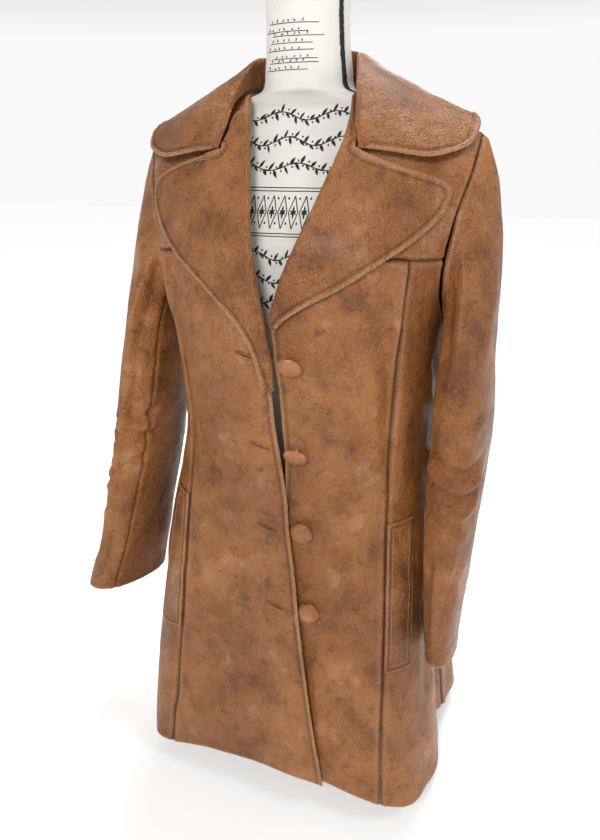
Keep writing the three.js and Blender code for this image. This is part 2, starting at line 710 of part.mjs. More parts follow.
function closedLoft(rings) {
  const count = rings[0].length;
  const position = rings.flat().flatMap((point) => point.toArray());
  const index = [];
  for (let i = 0; i < rings.length - 1; i += 1) {
    for (let j = 0; j < count; j += 1) {
      const k = (j + 1) % count;
      index.push(i * count + j, i * count + k, (i + 1) * count + k);
      index.push(i * count + j, (i + 1) * count + k, (i + 1) * count + j);
    }
  }
  const caps = [rings[0], rings[rings.length - 1]].map((loop, end) => {
    const middle = loop.reduce((sum, point) => sum.add(point), ring(0, 0, 0)).divideScalar(count);
    position.push(...middle.toArray());
    return [position.length / 3 - 1, end ? (rings.length - 1) * count : 0, end];
  });
  for (const [middle, first, end] of caps) {
    for (let j = 0; j < count; j += 1) {
      const pair = [first + j, first + (j + 1) % count];
      index.push(middle, ...(end ? pair : pair.reverse()));
    }
  }
  return facingOut(position, index);
}

function dressForm() {
  const rings = FORM.map(([z, halfWidth, front, back, mid]) => (
    Array.from({ length: FORM_SEGMENTS }, (_, j) => {
      const angle = j / FORM_SEGMENTS * 2 * Math.PI;
      const y = Math.sin(angle);
      return ring(halfWidth * Math.cos(angle), mid + y * (y < 0 ? front : back), z);
    })
  ));
  add('form_torso', closedLoft(rings), coverCloth);
  const turned = (name, profile, z, material, segments = 24) => {
    const points = profile.map(([r, y]) => new THREE.Vector2(r, y));
    const mesh = add(name, new THREE.LatheGeometry(points, segments), material);
    mesh.rotation.x = Math.PI / 2;
    mesh.position.z = z;
  };
  const top = FORM[FORM.length - 1][0];
  const { radius, edge, thick } = CAP;
  turned('form_cap', [[0, 0], [edge, 0], [radius, 2], [radius, thick - 4], [edge, thick - 1], [0, thick]], top + 0.3, blackWood);
  const bottom = FORM[0][0];
  const length = bottom - BASE.thick - 0.6;
  const post = [[0, 0], [POST.collar, 0], [POST.collar, 8], [POST.radius, POST.collarHeight]];
  post.push([POST.radius, length - 12], [POST.collar, length - 8], [POST.collar, length], [0, length]);
  turned('form_post', post, BASE.thick + 0.3, blackMetal, 20);
  const disc = [[0, 0], [BASE.radius, 0], [BASE.radius, BASE.thick - BASE.bevel]];
  disc.push([BASE.radius - BASE.bevel, BASE.thick], [0, BASE.thick]);
  turned('form_base', disc, 0, blackMetal, 40);
}

fronts();
sideFronts();
yokes();
backs();
sleeves();
lapels();
collar();
welts();
buttons();
dressForm();

export default coat;
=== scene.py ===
import math
from functools import lru_cache

import bpy
import numpy as np
from mathutils import Matrix, Vector
from mathutils.bvhtree import BVHTree


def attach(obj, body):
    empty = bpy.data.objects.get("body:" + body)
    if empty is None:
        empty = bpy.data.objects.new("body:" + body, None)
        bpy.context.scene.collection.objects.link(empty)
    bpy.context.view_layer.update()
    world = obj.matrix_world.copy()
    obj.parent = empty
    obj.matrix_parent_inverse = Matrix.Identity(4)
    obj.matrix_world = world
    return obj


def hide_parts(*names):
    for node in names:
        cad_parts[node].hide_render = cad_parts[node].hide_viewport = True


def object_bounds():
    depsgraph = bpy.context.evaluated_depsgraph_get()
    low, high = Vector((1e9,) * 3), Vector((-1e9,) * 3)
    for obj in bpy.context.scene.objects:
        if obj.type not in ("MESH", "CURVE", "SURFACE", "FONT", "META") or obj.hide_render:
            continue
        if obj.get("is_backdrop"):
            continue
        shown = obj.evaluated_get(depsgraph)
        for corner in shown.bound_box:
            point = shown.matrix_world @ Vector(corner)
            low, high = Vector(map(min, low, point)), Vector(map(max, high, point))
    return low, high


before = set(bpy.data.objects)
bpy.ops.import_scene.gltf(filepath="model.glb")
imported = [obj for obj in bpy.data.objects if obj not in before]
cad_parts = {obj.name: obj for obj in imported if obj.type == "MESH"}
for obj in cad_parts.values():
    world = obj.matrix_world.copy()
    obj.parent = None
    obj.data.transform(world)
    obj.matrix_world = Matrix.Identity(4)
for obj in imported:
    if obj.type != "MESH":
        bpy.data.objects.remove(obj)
CAD_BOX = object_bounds()

bl_info = {
    "name": "Worn leather coat",
    "version": (1, 0, 0),
    "blender": (4, 5, 0),
    "location": "View3D > Sidebar > Coat",
    "description": "Sews a worn leather coat, piece by piece, on a limbless dress form",
    "category": "Add Mesh",
}

# Lengths are in millimetres until a mesh is made. The front faces -Y, +X is the wearer's left.
MM = 0.001
SEED = 7

SEAM_GAP = 0.35
HEM_HEIGHT = 54
YOKE_SEAM = 735
ARMPIT = 640
RIDGE = 895
RIDGE_TURN = 860
NECK_HALF = 66
SHOULDER_HALF = 202
BACK_NECK = 878
BREAK_LEFT = 648
BREAK_RIGHT = 572

# Body levels: height, half width left, half width right, middle of depth, reach to the front,
# reach to the back, squareness of front and back, drop of the level line to the shoulder tip
LEVELS = [
    (54, 206, 200, -8, 200, 190, 8, 3, 0),
    (150, 193, 206, -8, 181, 180, 5.5, 2.9, 0),
    (250, 182, 205, -8, 161, 168, 4, 2.7, 0),
    (350, 174, 196, -8, 147, 152, 3.1, 2.5, 0),
    (430, 169, 180, -8, 140, 132, 2.6, 2.4, 0),
    (500, 166, 167, -8, 138, 116, 2.4, 2.3, 0),
    (560, 166, 166, -8, 141, 114, 2.4, 2.3, 0),
    (620, 170, 170, -8, 143, 122, 2.4, 2.3, 3),
    (680, 177, 177, -8, 141, 128, 2.5, 2.4, 10),
    (740, 185, 185, -8, 128, 126, 2.6, 2.5, 20),
    (790, 192, 192, -7, 98, 112, 2.9, 2.6, 31),
    (830, 198, 198, -6, 72, 97, 3.2, 2.7, 39),
    (860, 201, 201, -5, 52, 80, 3.2, 2.6, 45),
    (880, 202, 202, -5, 35, 62, 3, 2.4, 48),
    (890, 202, 202, -5, 20, 40, 2.8, 2.2, 49.5),
    (895, 202, 202, -5, 0.2, 0.2, 2.6, 2.2, 50),
]

# Flutes of the skirt: place round the body (0 middle front, 1 side, 2 middle back), height of
# the wave at the hem and its half width in the same measure
FLUTES = [
    (0.72, 8, 0.12), (0.93, -12, 0.1), (1.16, 9, 0.12), (1.4, -9, 0.12), (1.66, 9, 0.13),
    (-0.74, 6, 0.12), (-0.97, -8, 0.12), (-1.2, 10, 0.13), (-1.45, -8, 0.12), (-1.7, 8, 0.13),
    (0.33, 4, 0.14), (-0.3, -3, 0.14), (-0.52, 4, 0.1),
]
FLUTE_TOP = 460
FLUTE_POWER = 1.4
HEM_SAG = 24
SAG_TOP = 320
# Run round the body at which the hem begins to sag, and over which it sags fully
SAG_START = 0.12
SAG_RUN = 0.5

# The armhole's line: level, run of its front half, run of its back half from the middle back
ARMHOLE = [
    (640, 1, 1), (643, 0.965, 0.965), (650, 0.92, 0.925), (662, 0.87, 0.88), (680, 0.82, 0.845),
    (705, 0.785, 0.825), (735, 0.775, 0.82), (765, 0.785, 0.825), (795, 0.8, 0.84), (822, 0.83, 0.86),
    (846, 0.87, 0.88), (866, 0.905, 0.905), (881, 0.94, 0.935), (890, 0.965, 0.965), (895, 1, 1),
]
# Places across, by level: the princess seam, the front edges, the roll lines above them, the
# back of the neck. Then how far the right front stands over the left one.
PRINCESS = [(54, 154), (141, 147), (242, 141), (430, 131), (544, 133), (648, 138), (735, 145)]
EDGE_RIGHT = [
    (54, 78), (111, 66), (166, 54), (221, 44), (286, 35), (343, 28), (396, 20), (440, 16.5),
    (485, 10.5), (512, 7), (539, 4.5), (572, 3),
]
EDGE_LEFT = [
    (54, -2), (220, 2), (400, 8), (484, 12), (538, 10.5), (565, 9.5), (590, 8), (608, 5.5), (648, 3),
]
ROLL_LEFT = [(648, 3), (700, 20), (750, 40), (800, 57), (840, 68), (870, 70), (895, 66)]
ROLL_RIGHT = [
    (572, 3), (608, 0), (640, -5), (660, -8), (690, -14), (750, -28), (800, -41), (840, -51),
    (870, -60), (895, -66),
]
NECKLINE = [(878, 0), (880, 15), (885, 36), (890, 48.5), (895, 66)]
OVERLAP = [(54, 8), (200, 11), (290, 12), (400, 8), (500, 6), (600, 5.5), (735, 4), (820, 2), (895, 0)]
LIFT_FLAT = 20
LIFT_FADE = 95


def hermite(s, start, leave, end, arrive):
    """A smooth way between two values, with the slopes it leaves and arrives with."""
    s2, s3 = s * s, s ** 3
    return ((2 * s3 - 3 * s2 + 1) * start + (s3 - 2 * s2 + s) * leave
            + (3 * s2 - 2 * s3) * end + (s3 - s2) * arrive)


def through(rows):
    """A smooth curve through rows of (key, value, ...), read at one key or at many."""
    table = np.array(rows, float)
    keys, values = table[:, 0], table[:, 1:]
    slopes = np.empty_like(values)
    slopes[1:-1] = (values[2:] - values[:-2]) / (keys[2:] - keys[:-2])[:, None]
    slopes[0] = (values[1] - values[0]) / (keys[1] - keys[0])
    slopes[-1] = (values[-1] - values[-2]) / (keys[-1] - keys[-2])

    def read(key):
        key = np.asarray(key, float)
        i = np.clip(np.searchsorted(keys, key, "left") - 1, 0, len(keys) - 2)
        run = (keys[i + 1] - keys[i])[..., None]
        s = np.clip((key - keys[i])[..., None] / run, 0, 1)
        out = hermite(s, values[i], slopes[i] * run, values[i + 1], slopes[i + 1] * run)
        return out[..., 0] if values.shape[1] == 1 else out

    return read


def smooth(s):
    """A smooth step from 0 to 1."""
    c = np.clip(s, 0, 1)
    return c * c * (3 - 2 * c)


def bump(s):
    """A round hill from -1 to 1, with 1 in the middle."""
    return np.where(np.abs(s) < 1, (1 - np.minimum(s * s, 1)) ** 2, 0)


def lerp(a, b, s):
    return a + (b - a) * s


def swell(far, at, width):
    """A bell curve that is 1 at the given place."""
    return np.exp(-((far - at) / width) ** 2)


def unit(vectors):
    return vectors / np.maximum(np.linalg.norm(vectors, axis=-1, keepdims=True), 1e-12)


def smooth_profile(points, count):
    """A number of points on a smooth curve through the given ones."""
    keys = np.arange(len(points))
    return through(np.column_stack([keys, points]))(np.linspace(0, len(points) - 1, count))


def run_along(points, axis=0):
    """The length so far along a path or a grid of points."""
    steps = np.linalg.norm(np.diff(points, axis=axis), axis=-1)
    return np.insert(np.cumsum(steps, axis), 0, 0, axis)


def spread(points, count):
    """A number of points at even distances along a path."""
    run = run_along(points)
    goals = np.linspace(0, run[-1], count)
    return np.stack([np.interp(goals, run, column) for column in points.T], -1)


level_at = through(LEVELS)
arm_at = through(ARMHOLE)
princess_at = through(PRINCESS)
edge_left = through(EDGE_LEFT)
edge_right = through(EDGE_RIGHT)
roll_left = through(ROLL_LEFT)
roll_right = through(ROLL_RIGHT)
neck_at = through(NECKLINE)
overlap_at = through(OVERLAP)


@lru_cache(maxsize=None)
def quarter(half, reach, square):
    """A quarter of a squared ellipse: its points from middle to side, and the length so far."""
    s = np.linspace(0, 1, 321)
    angle = (s - np.sin(2 * np.pi * s) / (2 * np.pi)) * np.pi / 2
    x = half * np.sin(angle) ** (2 / square)
    y = reach * np.maximum(np.cos(angle), 0) ** (2 / square)
    run = np.concatenate([[0], np.cumsum(np.hypot(np.diff(x), np.diff(y)))])
    return x, y, run


@lru_cache(maxsize=None)
def level(h):
    return tuple(float(v) for v in level_at(h))


def shoulder_fall(x):
    """Share of a level's drop at a place across: none at the neck, all at the shoulder's tip."""
    bend = 40
    run = x - NECK_HALF + bend / 2
    full = SHOULDER_HALF - NECK_HALF
    return np.where(run < 0, 0, np.where(run < bend, run * run / (2 * bend), run - bend / 2) / full)


def body_row(q, h):
    """Points of the coat's outer surface at one level, and their distance round the body."""
    left, right, mid, front, back, square_front, square_back, drop = level(float(h))
    q = np.atleast_1d(np.asarray(q, float))
    run = np.abs(q)
    behind = run > 1
    x, y, girth = np.zeros((3, len(q)))
    for half, on_side in ((left, q >= 0), (right, q < 0)):
        front_x, front_y, front_run = quarter(half, front, square_front)
        back_x, back_y, back_run = quarter(half, back, square_back)
        on_front, on_back = on_side & ~behind, on_side & behind
        goal = run[on_front] * front_run[-1]
        x[on_front] = np.interp(goal, front_run, front_x)
        y[on_front] = np.interp(goal, front_run, front_y)
        girth[on_front] = goal
        goal = (2 - run[on_back]) * back_run[-1]
        x[on_back] = np.interp(goal, back_run, back_x)
        y[on_back] = np.interp(goal, back_run, back_y)
        girth[on_back] = front_run[-1] + (run[on_back] - 1) * back_run[-1]
    half, reach = np.where(q < 0, right, left), np.where(behind, back, front)
    wave = np.zeros_like(q)
    if h < FLUTE_TOP:
        share = ((FLUTE_TOP - h) / (FLUTE_TOP - HEM_HEIGHT)) ** FLUTE_POWER
        for at, height, width in FLUTES:
            wave += height * share * bump((q - at) / width)
    length = np.maximum(np.hypot(x / half, y / reach), 1e-9)
    sag = HEM_SAG * smooth((run - SAG_START) / SAG_RUN) * max(SAG_TOP - h, 0) / (SAG_TOP - HEM_HEIGHT)
    z = h - drop * shoulder_fall(x) - sag
    out_x = x + wave * x / half / length
    out_y = y + wave * y / reach / length
    sign = np.where(q < 0, -1.0, 1.0)
    return np.stack([sign * out_x, mid + np.where(behind, 1.0, -1.0) * out_y, z], -1), sign * girth


def run_at(x, h, on_back=False):
    """Share of the run at which the surface is x away from the middle."""
    left, right, _mid, front, back, square_front, square_back, _drop = level(float(h))
    half, sign = (left, 1.0) if x >= 0 else (right, -1.0)
    reach, square = (back, square_back) if on_back else (front, square_front)
    across, _depth, run = quarter(half, reach, square)
    aim = goal = abs(float(x))
    for _ in range(4):
        share = float(np.interp(aim, across, run)) / run[-1]
        q = sign * (2 - share if on_back else share)
        aim += goal - abs(float(body_row(q, h)[0][0, 0]))
    return q


def body_surface(q, heights):
    """Points, outward normals and girths of the body for a row of runs at each height."""
    points, normals, girths = [], [], []
    step, rise = 0.004, 1.0
    for row, h in zip(q, heights):
        here, girth = body_row(row, h)
        across = body_row(row + step, h)[0] - body_row(row - step, h)[0]
        up = body_row(row, min(h + rise, RIDGE))[0] - body_row(row, h - rise)[0]
        normal = np.cross(across, up)
        if h >= RIDGE:
            normal[:, 1] = 0
        points.append(here)
        normals.append(unit(normal))
        girths.append(girth)
    return np.array(points), np.array(normals), np.array(girths)


def right_edge(h):
    return float(edge_right(h) if h < BREAK_RIGHT else roll_right(h))


def left_edge(h):
    return float(edge_left(h) if h < BREAK_LEFT else roll_left(h))


def lift_right(x, h):
    """How far the right front stands over the left one, near its edge."""
    edge = np.vectorize(right_edge)(h)
    return overlap_at(h) * (1 - smooth((edge - LIFT_FLAT - x) / LIFT_FADE))


def no_lift(x, h):
    return np.zeros(np.broadcast(np.asarray(x), np.asarray(h)).shape)


# The chest as a height field, for what lies on it
HALVINGS = 26


def chest_level(x, z):
    """Level whose line passes through a place across and a height on the chest."""
    x, z = np.broadcast_arrays(np.asarray(x, float), np.asarray(z, float))
    low, high = np.full(x.shape, float(HEM_HEIGHT)), np.full(x.shape, float(RIDGE))
    fall = shoulder_fall(np.abs(x))
    for _ in range(HALVINGS):
        mid = (low + high) / 2
        drop = level_at(mid)[..., -1]
        below = mid - drop * fall < z
        low, high = np.where(below, mid, low), np.where(below, high, mid)
    return low


def chest_point(x, z):
    """The place on the chest that is seen from the front at a place across and a height."""
    x = np.asarray(x, float)
    left, right, mid, front, _back, square, *_rest = np.moveaxis(level_at(chest_level(x, z)), -1, 0)
    inside = np.clip(np.abs(x) / np.where(x < 0, right, left), 0, 0.9999)
    depth = front * (1 - inside ** square) ** (1 / square)
    return np.stack([x, mid - depth, np.broadcast_to(z, x.shape)], -1)


def chest_normal(x, z):
    step = 1.0
    across = chest_point(x + step, z) - chest_point(x - step, z)
    up = chest_point(x, z + step) - chest_point(x, z - step)
    return unit(np.cross(across, up))


def over_chest(x, z, out, lift=no_lift):
    """Points that stand out from the chest and end at the given place across and height."""
    x, z = np.asarray(x, float), np.asarray(z, float)
    rise = np.asarray(out + lift(x, chest_level(x, z)))[..., None]
    step = chest_normal(x, z) * rise
    foot_x, foot_z = x - step[..., 0], z - step[..., 2]
    return chest_point(foot_x, foot_z) + chest_normal(foot_x, foot_z) * rise


# Noise and creases
@lru_cache(maxsize=None)
def lattice(seed):
    return np.random.default_rng(SEED * 1000 + seed).uniform(-1, 1, (128, 128))


def noise(x, y, seed):
    """Smooth noise from -1 to 1."""
    table = lattice(seed)
    xi, yi = np.floor(x).astype(int), np.floor(y).astype(int)
    fx, fy = smooth(x - xi), smooth(y - yi)
    corner = lambda i, j: table[(xi + i) % 128, (yi + j) % 128]
    low = lerp(corner(0, 0), corner(1, 0), fx)
    high = lerp(corner(0, 1), corner(1, 1), fx)
    return lerp(low, high, fy)


def rumple(u, v, size, seed):
    """Soft waves of worn leather, with a few sharper lines where the noise crosses nought."""
    broad = noise(u / size, v / size, seed) + 0.5 * noise(u / size * 2.1, v / size * 2.1, seed + 1)
    lines = 1 - np.abs(noise(u / size * 1.3 + broad, v / size * 1.3, seed + 2))
    return 0.7 * broad - 0.5 * lines ** 6


def along_path(points, spacing):
    """Points of a smooth path through the given ones, at an even spacing."""
    points = np.array(points, float)
    if len(points) > 2:
        points = smooth_profile(points, 24 * len(points))
    count = max(int(round(run_along(points)[-1] / spacing)), 1)
    return spread(points, count + 1)


def distance_to_path(u, v, path):
    """Distance from each place to a path, and the share of the path's length there."""
    best = np.full(u.shape, np.inf)
    share = np.zeros(u.shape)
    count = len(path) - 1
    for i in range(count):
        a, b = path[i], path[i + 1]
        span = b - a
        t = np.clip(((u - a[0]) * span[0] + (v - a[1]) * span[1]) / max(span @ span, 1e-9), 0, 1)
        far = np.hypot(u - a[0] - t * span[0], v - a[1] - t * span[1])
        closer = far < best
        best = np.where(closer, far, best)
        share = np.where(closer, (i + t) / count, share)
    return best, share


def creases(u, v, strokes):
    """Height of listed creases: each a path, a half width and a height, below 0 a trough."""
    height = np.zeros(u.shape)
    for width, rise, *points in strokes:
        path = along_path(points, max(width, 4))
        reach = 4 * width
        near = (u > path[:, 0].min() - reach) & (u < path[:, 0].max() + reach)
        near &= (v > path[:, 1].min() - reach) & (v < path[:, 1].max() + reach)
        if near.any():
            far, share = distance_to_path(u[near], v[near], path)
            ends = smooth(np.minimum(share, 1 - share) * 5)
            shape = swell(far, 0, width) - 0.4 * swell(far, 2.3 * width, 1.2 * width)
            height[near] += rise * shape * ends
    return height


# Meshes
def sheet_faces(rows, columns):
    """Faces of a closed sheet: the outer grid, the inner grid and the four rims."""
    index = np.arange(2 * rows * columns).reshape(2, rows, columns)
    outer, inner = index
    quad = lambda a, b, c, d: np.stack([a, b, c, d], -1).reshape(-1, 4)
    return np.concatenate([
        quad(outer[:-1, :-1], outer[:-1, 1:], outer[1:, 1:], outer[1:, :-1]),
        quad(inner[:-1, :-1], inner[1:, :-1], inner[1:, 1:], inner[:-1, 1:]),
        quad(outer[0, :-1], inner[0, :-1], inner[0, 1:], outer[0, 1:]),
        quad(outer[-1, :-1], outer[-1, 1:], inner[-1, 1:], inner[-1, :-1]),
        quad(outer[:-1, 0], outer[1:, 0], inner[1:, 0], inner[:-1, 0]),
        quad(outer[:-1, -1], inner[:-1, -1], inner[1:, -1], outer[1:, -1]),
    ])


def closed_rings(rings, ends):
    """Points and faces of a closed tube, from its rings and the point that closes each end."""
    rows, columns = rings.shape[:2]
    index = np.arange(rows * columns).reshape(rows, columns)
    after = np.roll(index, -1, 1)
    quads = np.stack([index[:-1], after[:-1], after[1:], index[1:]], -1).reshape(-1, 4)
    first, last = np.full((2, columns), rows * columns) + [[0], [1]]
    fans = [np.stack([first, after[0], index[0]], -1), np.stack([last, index[-1], after[-1]], -1)]
    return np.concatenate([rings.reshape(-1, 3), ends]), [quads, np.concatenate(fans)]


def volume(points, faces):
    """Volume that some of a body's faces add, below 0 where they look inwards."""
    total = 0.0
    for k in range(1, faces.shape[1] - 1):
        a, b, c = points[faces[:, 0]], points[faces[:, k]], points[faces[:, k + 1]]
        total += float((a * np.cross(b, c)).sum())
    return total / 6


def faced_out(points, faces):
    """The faces, turned over where they look inwards."""
    inwards = sum(volume(points, group) for group in faces) < 0
    return [group[:, ::-1] for group in faces] if inwards else list(faces)


def make_mesh(name, points, faces, uv=None, marks=None):
    """A smooth mesh of closed bodies. Faces are arrays with one row for each face."""
    faces = faced_out(points, faces)
    corners = np.concatenate([group.ravel() for group in faces])
    sizes = np.concatenate([np.full(len(group), group.shape[1]) for group in faces])
    mesh = bpy.data.meshes.new(name)
    mesh.vertices.add(len(points))
    mesh.vertices.foreach_set("co", (points * MM).ravel())
    mesh.loops.add(len(corners))
    mesh.loops.foreach_set("vertex_index", corners)
    mesh.polygons.add(len(sizes))
    mesh.polygons.foreach_set("loop_start", np.concatenate([[0], np.cumsum(sizes)[:-1]]))
    mesh.polygons.foreach_set("use_smooth", np.ones(len(sizes), bool))
    mesh.update(calc_edges=True)
    if uv is not None:
        layer = mesh.uv_layers.new(name="cloth")
        layer.data.foreach_set("uv", (uv * MM)[corners].ravel())
    for mark, values in (marks or {}).items():
        mesh.attributes.new(mark, "FLOAT", "POINT").data.foreach_set("value", values)
    mesh.validate()
    return mesh


def put(name, data):
    """Links a camera, a light or a mesh into the scene as an object."""
    thing = bpy.data.objects.new(name, data)
    bpy.context.scene.collection.objects.link(thing)
    return thing


def add_piece(name, mesh, material, replaces=()):
    """Puts a mesh in the scene as a piece of the object."""
    piece = put(name, mesh)
    mesh.materials.append(material)
    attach(piece, "root")
    if replaces:
        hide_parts(*replaces)
    return piece


# What a cut has over the longest row and column of its piece
SPARE = 1.02


def cloth_area(outer):
    """Area of a grid of points, in square metres."""
    a, b = outer[1:, 1:] - outer[:-1, :-1], outer[1:, :-1] - outer[:-1, 1:]
    return float(np.linalg.norm(np.cross(a, b), axis=-1).sum() / 2) * MM * MM


def declare_sheet(piece, outer):
    """Works out the cut of a piece, its longest row and column with some to spare and its area, and raises if
    the area is more than they hold.
    """
    width, length = (float(run_along(outer, axis).max()) * MM * SPARE for axis in (1, 0))
    area = cloth_area(outer)
    if area > width * length:
        raise ValueError(f"{piece.name}: the cut is too small for {area:.4f} square metres")


# The coat's panels
EDGE_STEPS = np.array([0, 0.5, 1.1, 1.9, 3.0, 4.3, 5.6, 7.0, 8.6, 10.8, 13.6])
GRID_SPACING = 4.2
LEATHER = 1.5
DOUBLED = 3.0
FACING_WIDTH = 34
STITCH_INSET = 6.5


def crowded(length, spacing=GRID_SPACING, start=True, end=True):
    """Places from nought to a length, crowded near the chosen ends."""
    low = EDGE_STEPS if start else EDGE_STEPS[:1]
    high = length - EDGE_STEPS[::-1] if end else np.array([length])
    count = max(int(round((high[0] - low[-1]) / spacing)), 1)
    middle = np.linspace(low[-1], high[0], count + 1)[1:-1]
    return np.concatenate([low, middle, high])


def to_ridge(start):
    """Levels from a start up to the shoulder ridge, closer together as the surface turns over."""
    below = start + crowded(RIDGE_TURN - start, end=False)
    above = RIDGE - (RIDGE - RIDGE_TURN) * (1 - np.linspace(0, 1, 18)[1:]) ** 1.6
    return np.concatenate([below, above])


def seam_dip(far):
    """A sewn seam: the leather dips into it and swells beside it."""
    return 0.7 * swell(far, 6, 4) - 1.2 * swell(far, 0, 2.2)


def piped_edge(far):
    """A turned edge with a row of stitches: a rim, then the dent that the stitches pull."""
    return 0.5 * swell(far, 2.6, 1.6) - 0.55 * swell(far, STITCH_INSET, 1.3)


def rounding(far, thickness):
    """How far each face draws in towards the middle of the leather near a free edge."""
    radius = thickness / 2
    return radius * (1 - np.sqrt(1 - (1 - np.clip(far / (radius * 1.15), 0, 1)) ** 2)) * 0.94


TUCK_FOOT = 585
TUCK_RUN = 90
TUCK_HEIGHT = 7.5
TUCK_WIDTH = 12


def tuck(far, h):
    """The pleat that runs down from the yoke seam beside the princess seam."""
    pressed = 1 - 0.35 * smooth((h - 722) / 12)
    rise = smooth((h - TUCK_FOOT) / TUCK_RUN) * pressed
    ridge = swell(np.maximum(far - 5, 0), 0, TUCK_WIDTH) * smooth(far / 4.5)
    return TUCK_HEIGHT * rise * ridge


# Creases of the fronts, placed across and up: half width, height (below 0 a trough), points
FRONT_FOLDS = [
    (9, -3.2, (120, 700), (128, 600), (131, 500), (134, 430)),
    (7, 2.2, (60, 560), (84, 548), (112, 552), (128, 560)),
    (6, -2.0, (58, 520), (86, 512), (118, 520)),
    (8, -2.4, (40, 470), (72, 456), (104, 462), (126, 478)),
    (7, 1.8, (38, 430), (70, 420), (110, 428)),
    (9, -2.6, (60, 380), (84, 366), (112, 370)),
    (10, 2.4, (70, 330), (92, 300), (112, 296)),
    (9, -2.4, (60, 290), (88, 262), (120, 262)),
    (8, -1.8, (90, 220), (100, 160), (112, 100)),
    (9, 2.2, (52, 230), (62, 160), (70, 90)),
    (8, -2.2, (-130, 700), (-132, 600), (-130, 500), (-128, 430)),
    (7, -2.2, (-120, 560), (-96, 548), (-62, 552)),
    (6, 1.8, (-118, 520), (-86, 508), (-40, 512)),
    (8, -2.4, (-116, 470), (-80, 455), (-34, 462)),
    (8, 2.0, (-110, 420), (-74, 408), (-20, 412)),
    (9, -2.6, (-120, 372), (-84, 356), (-30, 362)),
    (10, -2.8, (-130, 330), (-100, 280), (-70, 262)),
    (11, 2.6, (-60, 330), (-58, 240), (-64, 140)),
    (9, -2.4, (-20, 300), (-12, 210), (-8, 110)),
    (8, 1.8, (20, 240), (28, 160), (34, 90)),
    (7, -1.8, (-150, 240), (-150, 170), (-146, 100)),
    (5, -1.6, (92, 724), (104, 690), (110, 655)),
    (5, -1.5, (-96, 722), (-106, 690), (-112, 655)),
]
# Creases of one side front and one half of the back, by girth from the middle front and level.
# The other side has the same ones.
SIDE_FOLDS = [
    (7, -2.4, (215, 600), (250, 560), (300, 540)),
    (8, 2.2, (205, 560), (245, 525), (300, 505)),
    (8, -2.6, (210, 500), (240, 480), (300, 474)),
    (9, -2.4, (205, 300), (222, 230), (230, 150)),
    (10, 2.4, (250, 340), (258, 240), (262, 130)),
    (9, -2.8, (420, 700), (450, 620), (440, 540)),
    (10, 2.4, (520, 690), (480, 610), (430, 560)),
    (9, -2.6, (560, 560), (480, 540), (400, 550)),
    (9, 2.2, (550, 510), (470, 492), (390, 505)),
    (9, -2.4, (540, 460), (470, 446), (380, 452)),
    (11, -2.6, (460, 380), (470, 260), (476, 120)),
]
BODY_FOLD_DEPTH = 1.25
SLEEVE_FOLD_DEPTH = 1.45


@lru_cache(maxsize=None)
def body_strokes():
    """Every crease of the body by girth and level."""
    girth = lambda x, z: float(body_row(run_at(x, z), z)[1][0])
    strokes = [(width, rise, *[(girth(x, z), z) for x, z in places])
               for width, rise, *places in FRONT_FOLDS]
    for side in (1, -1):
        strokes += [(width, rise, *[(side * u, h) for u, h in places])
                    for width, rise, *places in SIDE_FOLDS]
    return strokes


def body_relief(u, h):
    """Height of the leather over its cut surface, from its girth place and level."""
    waves = 1.5 * rumple(u, h * 0.8, 95, 1) + 0.55 * rumple(u, h, 34, 5)
    fine = 0.12 * rumple(u, h, 11, 9)
    return waves * smooth((RIDGE - h) / 60) + fine + BODY_FOLD_DEPTH * creases(u, h, body_strokes())


# The leather made so far, by name
PIECES = {}


class Shell:
    """A closed piece of leather on a grid, from its outer face, relief, thickness and rim."""

    def __init__(self, name, points, normals, uv, relief, thickness, drawn, hollow, worn):
        self.name, self.points, self.uv, self.relief = name, points, uv, relief
        self.outer = points + normals * (relief - drawn)[..., None]
        self.inner = points + normals * (relief - thickness + drawn)[..., None]
        self.hollow, self.worn = hollow, worn
        PIECES[name] = self

    def build(self, material, slot, rests_on, held="draped"):
        points = np.concatenate([self.outer.reshape(-1, 3), self.inner.reshape(-1, 3)])
        marks = {"hollow": np.tile(self.hollow.ravel(), 2), "worn": np.tile(self.worn.ravel(), 2)}
        uv = np.tile(self.uv.reshape(-1, 2), (2, 1))
        mesh = make_mesh(self.name, points, [sheet_faces(*self.hollow.shape)], uv, marks)
        piece = add_piece(self.name + "_leather", mesh, material, [self.name])
        declare_sheet(piece, self.outer)


def panel_shell(name, heights, start, end, kinds, lift=no_lift, tuck_side=None):
    """A cut piece of the body between two boundaries, with the kinds of its four sides."""
    rows = [(start(h), end(h)) for h in heights]
    girths = np.array([body_row(row, h)[1] for row, h in zip(rows, heights)])
    widths = np.abs(girths[:, 1] - girths[:, 0])
    places = crowded(widths.mean()) / widths.mean()
    q = np.array([lerp(low, high, places) for low, high in rows])
    points, normals, u = body_surface(q, heights)
    h = np.broadcast_to(heights[:, None], u.shape)
    across = places * widths[:, None]
    inset = {
        "start": across, "end": widths[:, None] - across, "bottom": h - heights[0], "top": heights[-1] - h,
    }
    relief = body_relief(u, h) + lift(points[..., 0], h)
    thickness = np.full(u.shape, LEATHER)
    drawn, hollow, worn = np.zeros((3, *u.shape))
    for far, kind in zip(inset.values(), kinds.split()):
        if kind == "seam":
            relief = relief + seam_dip(far)
            # The seam's groove gets painted shade through the hollow mark.
            hollow = np.maximum(hollow, swell(far, 0, 2.2))
            worn = np.maximum(worn, 0.35 * swell(far, 5, 3))
            continue
        thickness = thickness + (DOUBLED - LEATHER) * (1 - smooth((far - FACING_WIDTH) / 5))
        drawn = np.maximum(drawn, rounding(far, DOUBLED))
        worn = np.maximum(worn, swell(far, 0, 2.4))
        if kind == "free":
            relief = relief + piped_edge(far)
            # The stitch dent gets painted shade through the hollow mark.
            hollow = np.maximum(hollow, 0.7 * swell(far, STITCH_INSET, 1.6))
    if tuck_side:
        relief = relief + tuck(inset[tuck_side], h)
    return Shell(name, points, normals, np.stack([u, h], -1), relief, thickness, drawn, hollow, worn)


